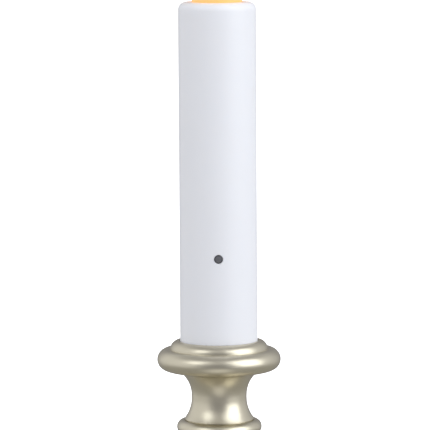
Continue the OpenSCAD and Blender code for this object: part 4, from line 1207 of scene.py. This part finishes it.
TRACK_MASK = finish("copper track under green mask", "#3c8a4e", "#347f47", 4, (0.25, 0.32), 0.4, 0.002,
    IOR=1.55)
TRACK_R = 0.3
track_y = BOARD_FRONT + TRACK_R - 0.06
chip_x, chip_z = BOARD_HALF - 3.6, BOARD_LOW + 27
tracks_xz = [[(1.8, 2), (1.8, 6), (BOARD_HALF - 3, 10.5), (BOARD_HALF - 1, 12.5), (BOARD_HALF - 1, 22)],
    [(-1.8, 2), (-1.8, 10), (-LEAD_GAP - 0.6, 12), (-LEAD_GAP, 15)],
    [(LEAD_GAP, 15), (LEAD_GAP, 20), (2.2, 22), (2.2, 25)], [(2.6 - BOARD_HALF, 2.4), (2.6 - BOARD_HALF, 6),
    (1 - BOARD_HALF, 8), (1 - BOARD_HALF, 20), (2.4 - BOARD_HALF, 21.8)],
    [(4.4 - BOARD_HALF, 22), (-3, 24), (-3, 31), (-3, 33)], [(BOARD_HALF - 2.6, 37.6), (BOARD_HALF - 1, 36),
    (BOARD_HALF - 1, 29)], [(3, 33), (3, 31), (2, 29.5), (0.4, 29.5)],
    [(-3.6, 29), (1 - BOARD_HALF, 31), (1 - BOARD_HALF, 37), (-4, 38.6), (5, 38.6)]]
tracks = wires("tracks", [[(x, track_y, BOARD_LOW + z) for x, z in line] for line in tracks_xz], TRACK_R,
    TRACK_MASK, sides=16, fineness=1)
dress(tracks, "base", "board_laminate")

resistor_spots = [(side * (BOARD_HALF - 3.6), BOARD_LOW + z) for side in (-1, 1) for z in (8.6, 12.0)]
joint_xz = [(1.8, BOARD_LOW + 2), (-1.8, BOARD_LOW + 2), (BOARD_HALF - 2.6, BOARD_TOP - 2.4),
    (2.6 - BOARD_HALF, BOARD_LOW + 2.4), (3, BOARD_TOP - 7), (-3, BOARD_TOP - 7)]
joint_xz += [(x + side * 2.4, z) for x, z in resistor_spots for side in (-1, 1)]
joint_xz += [(side * LEAD_GAP, SENSOR_Z) for side in (-1, 1)]
blob = soften([(0, -0.1), (0.85, -0.1), (0.8, 0.02), (0.55, 0.12), (0.4, 0.3), (0.3, 0.55), (0, 0.62)])
joints = set_turned("solder_joints", blob, 20, [(x, BOARD_FRONT, z) for x, z in joint_xz], FORWARD, TIN)
dress(joints, "base", "lug_brass")

# %% [markdown]
# ## Parts on the board
# Each electronic part is modelled the way it is made: a body moulded or dipped over a few
# bent leads. The chip has gull-wing legs and a dot at pin one, the transistor
# a flat face, the resistors dog-bone bodies with painted rings, and the capacitor a crimped
# can in a printed sleeve, with a cross scored in its top.

# %% Flat sections
def slab(name, outline, depth_mm, material, edge_mm=0.0):
    """An outline of (x, y) points in mm, raised by depth_mm from z = 0."""
    work = bmesh.new()
    face = work.faces.new([work.verts.new((x * MM, y * MM, 0.0)) for x, y in outline])
    raised = bmesh.ops.extrude_face_region(work, geom=[face])["geom"]
    corners = [part for part in raised if isinstance(part, bmesh.types.BMVert)]
    bmesh.ops.translate(work, vec=(0, 0, depth_mm * MM), verts=corners)
    mesh = mesh_from(name, work)
    mesh.materials.append(material)
    face_out(mesh)
    piece = add_object(name, mesh)
    if edge_mm:
        round_edges(piece, edge_mm)
    return piece


EPOXY_BLACK = finish("black moulded epoxy", "#252527", "#1c1c1e", 2, (0.5, 0.6), 0.25, 0.006, IOR=1.55)
EPOXY_MARK = finish("grey moulding mark", "#77777a", "#6c6c70", 2, (0.5, 0.6), 0.25, 0.004, IOR=1.55)
print("epoxy for the chip and the transistor")

# %% Chip and transistor
chip = slab("chip_body", [(-2, -2.5), (2, -2.5), (2, 2.5), (-2, 2.5)], 1.5, EPOXY_BLACK, 0.16)
chip = set_out("chip", chip, [(chip_x, BOARD_FRONT - 0.15, chip_z)], FORWARD, EPOXY_BLACK)
dress(chip, "base", "chip_resin", "control_chip")
dot_side = [(0, 0), (0.32, 0), (0.32, 0.05), (0, 0.05)]
dot_place = (chip_x - 1.35, BOARD_FRONT - 1.62, chip_z + 1.85)
dress(set_turned("chip_dot", dot_side, 24, [dot_place], FORWARD, EPOXY_MARK), "base", "chip_resin")
wing = [(1.9, 0.72), (2.3, 0.72), (2.62, 0.2), (3.0, 0.2), (3.0, 0.02), (2.5, 0.02), (2.18, 0.52),
    (1.9, 0.52)]
leg_z = [chip_z + i * 1.27 + 0.2 for i in (-1.5, -0.5, 0.5, 1.5)]
for side, name in ((1, "chip_legs_right"), (-1, "chip_legs_left")):
    leg = slab("leg_unit", [(side * x, y) for x, y in wing], 0.4, TIN)
    legs = set_out(name, leg, [(chip_x, BOARD_FRONT, z - 0.4) for z in leg_z], UPRIGHT, TIN)
    for vertex in legs.data.vertices:
        vertex.co.y = 2 * BOARD_FRONT * MM - vertex.co.y
    face_out(legs.data)
    dress(legs, "base", "lug_brass")

transistor_x, transistor_z = 3.4 - BOARD_HALF, BOARD_LOW + 22
flat = [(x, max(y, -1.2)) for x, y in arc((0, 0), 1.9, -39, 219, 32)]
body = set_out("transistor_body", slab("transistor_unit", flat, 2.0, EPOXY_BLACK, 0.12),
    [(transistor_x, BOARD_FRONT - 1.2, transistor_z)], FORWARD, EPOXY_BLACK)
dress(body, "base", "chip_resin", "transistor")
leg_routes = [[(transistor_x + i, y, transistor_z) for y in (BOARD_FRONT + 0.1, BOARD_FRONT - 1.4)]
    for i in (-1, 0, 1)]
dress(wires("transistor_legs", leg_routes, 0.22, TIN, sides=8, fineness=1), "base", "lug_brass")

# %% Resistors
RESISTOR_TAN = finish("tan lacquered resistor body", "#cdb58c", "#c2a97e", 2, (0.3, 0.4), 0.4, 0.003,
    IOR=1.52)
bone = soften([(0, -1.7), (0.45, -1.7), (0.75, -1.45, 0.2), (0.75, -0.95), (0.66, -0.75), (0.66, 0.75),
    (0.75, 0.95), (0.75, 1.45, 0.2), (0.45, 1.7), (0, 1.7)])
RING_HALF = 0.16
resistor_places = [(x, BOARD_FRONT - 1.0, z) for x, z in resistor_spots]
bones = set_turned("resistor_bodies", bone, 32, resistor_places, SIDEWAYS, RESISTOR_TAN)
dress(bones, "base", "resistor_ceramic", "resistors")
for name, at, radius, light, dark in (("first", -1.2, 0.75, "#6b3d20", "#5f351b"),
        ("second", -0.5, 0.66, "#222222", "#191919"), ("third", 0.05, 0.66, "#b4342a", "#a32d24"),
        ("fourth", 1.2, 0.75, "#b98f3c", "#a98233")):
    paint = finish(f"{name} ring paint", light, dark, 2, (0.3, 0.4), 0.4, 0.002, IOR=1.5)
    ring_side = [(radius - 0.1, at - RING_HALF), (radius + 0.02, at - RING_HALF),
        (radius + 0.02, at + RING_HALF), (radius - 0.1, at + RING_HALF)]
    rings = set_turned(f"{name}_rings", ring_side, 32, resistor_places, SIDEWAYS, paint)
    dress(rings, "base", "resistor_ceramic")
bent = [[(x - 2.4, BOARD_FRONT + 0.1, z), (x - 2.4, BOARD_FRONT - 0.8, z), (x - 2.2, BOARD_FRONT - 1.0, z),
    (x + 2.2, BOARD_FRONT - 1.0, z), (x + 2.4, BOARD_FRONT - 0.8, z), (x + 2.4, BOARD_FRONT + 0.1, z)]
    for x, z in resistor_spots]
dress(wires("resistor_leads", bent, 0.2, TIN, sides=10, fineness=2), "base", "lug_brass")

# %% Capacitor
CAN_PRINT = finish("printed capacitor sleeve", "#2f3350", "#292d48", 3, (0.28, 0.36), 0.5, 0.002, IOR=1.53)
ALUMINIUM = finish("pressed aluminium", "#c9cacc", "#bcbdbf", 2, (0.24, 0.32), 0.25, 0.002, Metallic=1.0)
CAP_X, CAP_Z, CAP_H, CAP_R = -1.6, BOARD_LOW + 29, 3.6, 1.9
tree, axis = coordinates(CAN_PRINT)
overprint(CAN_PRINT, near(tree, axis["X"], CAP_X - CAP_R, 0.45), "#b9bcc4")
sleeve_side = soften([(0, 0), (CAP_R, 0, 0.15), (CAP_R, 0.5), (CAP_R - 0.16, 0.75), (CAP_R, 1.0),
    (CAP_R, CAP_H, 0.3), (CAP_R - 0.45, CAP_H, 0.05), (CAP_R - 0.45, CAP_H - 0.08), (0, CAP_H - 0.08)])
cap_place = (CAP_X, BOARD_FRONT, CAP_Z)
cap = set_turned("capacitor_sleeve", sleeve_side, 48, [cap_place], FORWARD, CAN_PRINT)
dress(cap, "base", "capacitor_film", "capacitor")
top = turn("top_unit", soften([(0, CAP_H - 0.3), (CAP_R - 0.46, CAP_H - 0.3),
    (CAP_R - 0.46, CAP_H - 0.02, 0.06), (0, CAP_H - 0.02)]), ALUMINIUM, steps=48)
for x, y in ((1.0, 0.06), (0.06, 1.0)):
    cut(top, block("score", (-x * MM, -y * MM, (CAP_H - 0.08) * MM), (x * MM, y * MM, CAP_H * MM)))
dress(set_out("capacitor_top", top, [cap_place], FORWARD, ALUMINIUM), "base", "capacitor_film")

# %% Photocell
CERAMIC = finish("cream glazed ceramic", "#dcd2ae", "#d3c8a2", 2, (0.2, 0.3), 0.4, 0.002, IOR=1.6,
    Coat_Weight=0.5, Coat_Roughness=0.08)
SENSE_FILM = finish("orange light-sensing film", "#b2542c", "#a34a25", 1, (0.4, 0.5), 0.3, 0.002, IOR=1.6)
CELL_FACE_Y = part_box("photocell")[0].y / MM
disc_side = soften([(0, 0), (2.4, 0, 0.3), (2.4, 2.0, 0.3), (0, 2.0)])
disc = set_turned("photocell_disc", disc_side, 48, [(0, CELL_FACE_Y + 2.0, SENSOR_Z)], FORWARD, CERAMIC)
dress(disc, "base", "photocell_ceramic", "photocell")
rows = [(-1.35 + 0.45 * i, (1 if i % 2 else -1)) for i in range(7)]
snake = [(side * s * math.sqrt(max(1.9 ** 2 - dz * dz, 0)) * 0.86, CELL_FACE_Y + 0.07, SENSOR_Z + dz)
    for dz, side in rows for s in (-1, 1)]
dress(wires("photocell_track", [snake], 0.12, SENSE_FILM, sides=8, fineness=1), "base", "photocell_ceramic")
pin_routes = [[(side * LEAD_GAP, y, SENSOR_Z) for y in (BOARD_FRONT + 2.0, CELL_FACE_Y + 1.8)]
    for side in (-1, 1)]
dress(wires("photocell_leads", pin_routes, 0.25, TIN, fineness=1), "base", "lug_brass")

# %% [markdown]
# ## Lamp
# The LED is cast in clear warm epoxy: a collar, a barrel and a round nose. Inside stand two
# posts of its lead frame, and the bigger one holds the bright die in a little cup.
# The epoxy is a clear, refracting shader, and the die is the only thing that glows.

# %% LED
CLEAR_EPOXY = finish("clear warm epoxy", "#ffeccb", "#ffe6bd", 4, (0.04, 0.07), 0.5, 0.0003, IOR=1.54,
    Transmission_Weight=0.92)
DIE = finish("lit LED die", "#ffcf80", "#ffc878", 1, (0.4, 0.5), 0.3, 0.001, Emission_Strength=6.0)
DIE.node_tree.nodes["Principled BSDF"].inputs["Emission Color"].default_value = rgb("#ffb868")
LED_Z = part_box("led_board")[1].z / MM
LED_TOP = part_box("flame_led")[1].z / MM
LED_R = 2.5
dome_z = LED_TOP - LED_R
lens_side = soften([(0, LED_Z), (LED_R + 0.4, LED_Z, 0.1), (LED_R + 0.4, LED_Z + 1.0, 0.15),
    (LED_R, LED_Z + 1.0, 0.1), *arc((0, dome_z), LED_R, 0, 84, 14), (0, LED_TOP)])
dress(turn("led_lens", lens_side, CLEAR_EPOXY, steps=64), "base", "led_epoxy", "flame_led")
cup_side = [(0, LED_Z + 3.2), (0.5, LED_Z + 3.2), (0.9, LED_Z + 4.4), (0.75, LED_Z + 4.4),
    (0.4, LED_Z + 3.8), (0, LED_Z + 3.8)]
dress(turn("led_cup", cup_side, TIN, steps=32), "base", "led_epoxy")
die = block("led_die", (-0.0002, -0.0002, (LED_Z + 3.82) * MM), (0.0002, 0.0002, (LED_Z + 4.05) * MM))
die.data.materials.append(DIE)
dress(die, "base", "led_epoxy")
posts = wires("led_posts", [[(-LEAD_GAP, 0, LED_BOARD_Z - 1.2), (-LEAD_GAP, 0, LED_Z + 2.6),
    (-0.5, 0, LED_Z + 3.3)], [(LEAD_GAP, 0, LED_BOARD_Z - 1.2), (LEAD_GAP, 0, LED_Z + 4.3),
    (0.9, 0, LED_Z + 4.7)]], 0.28, TIN, fineness=4)
dress(posts, "base", "lug_brass")

# %% [markdown]
# ## Bosses in the foot
# Three bosses inside the casting take the cover's screws. They are drilled rods, kept only
# where they lie inside the foot's own outline.

# %% Bosses
boss_core = turn("boss_core", soften([(0, COVER_TOP), (COVER_R - 3, COVER_TOP),
    (cove_c[0], torus_c[1] + TORUS_R - 1), *arc(cove_c, COVE_R + 1.0, 270, 180, 24),
    (bead_c[0] - 1, DECK_Z - 1), (0, DECK_Z - 1)]), PEWTER, steps=96)
boss_side = soften([(1.3, COVER_TOP, 0.2), (3.0, COVER_TOP, 0.2), (3.0, DECK_Z - 1.5), (0, DECK_Z - 1.5),
    (0, COVER_TOP + 6), (1.3, COVER_TOP + 6)])
bosses = set_turned("foot_bosses", boss_side, 48, ring_of(3, BOSS_RING_R, 0, 90), UPRIGHT, PEWTER)
cut(bosses, boss_core, "INTERSECT")
face_out(bosses.data)
dress(bosses, "base", "pewter_plate")
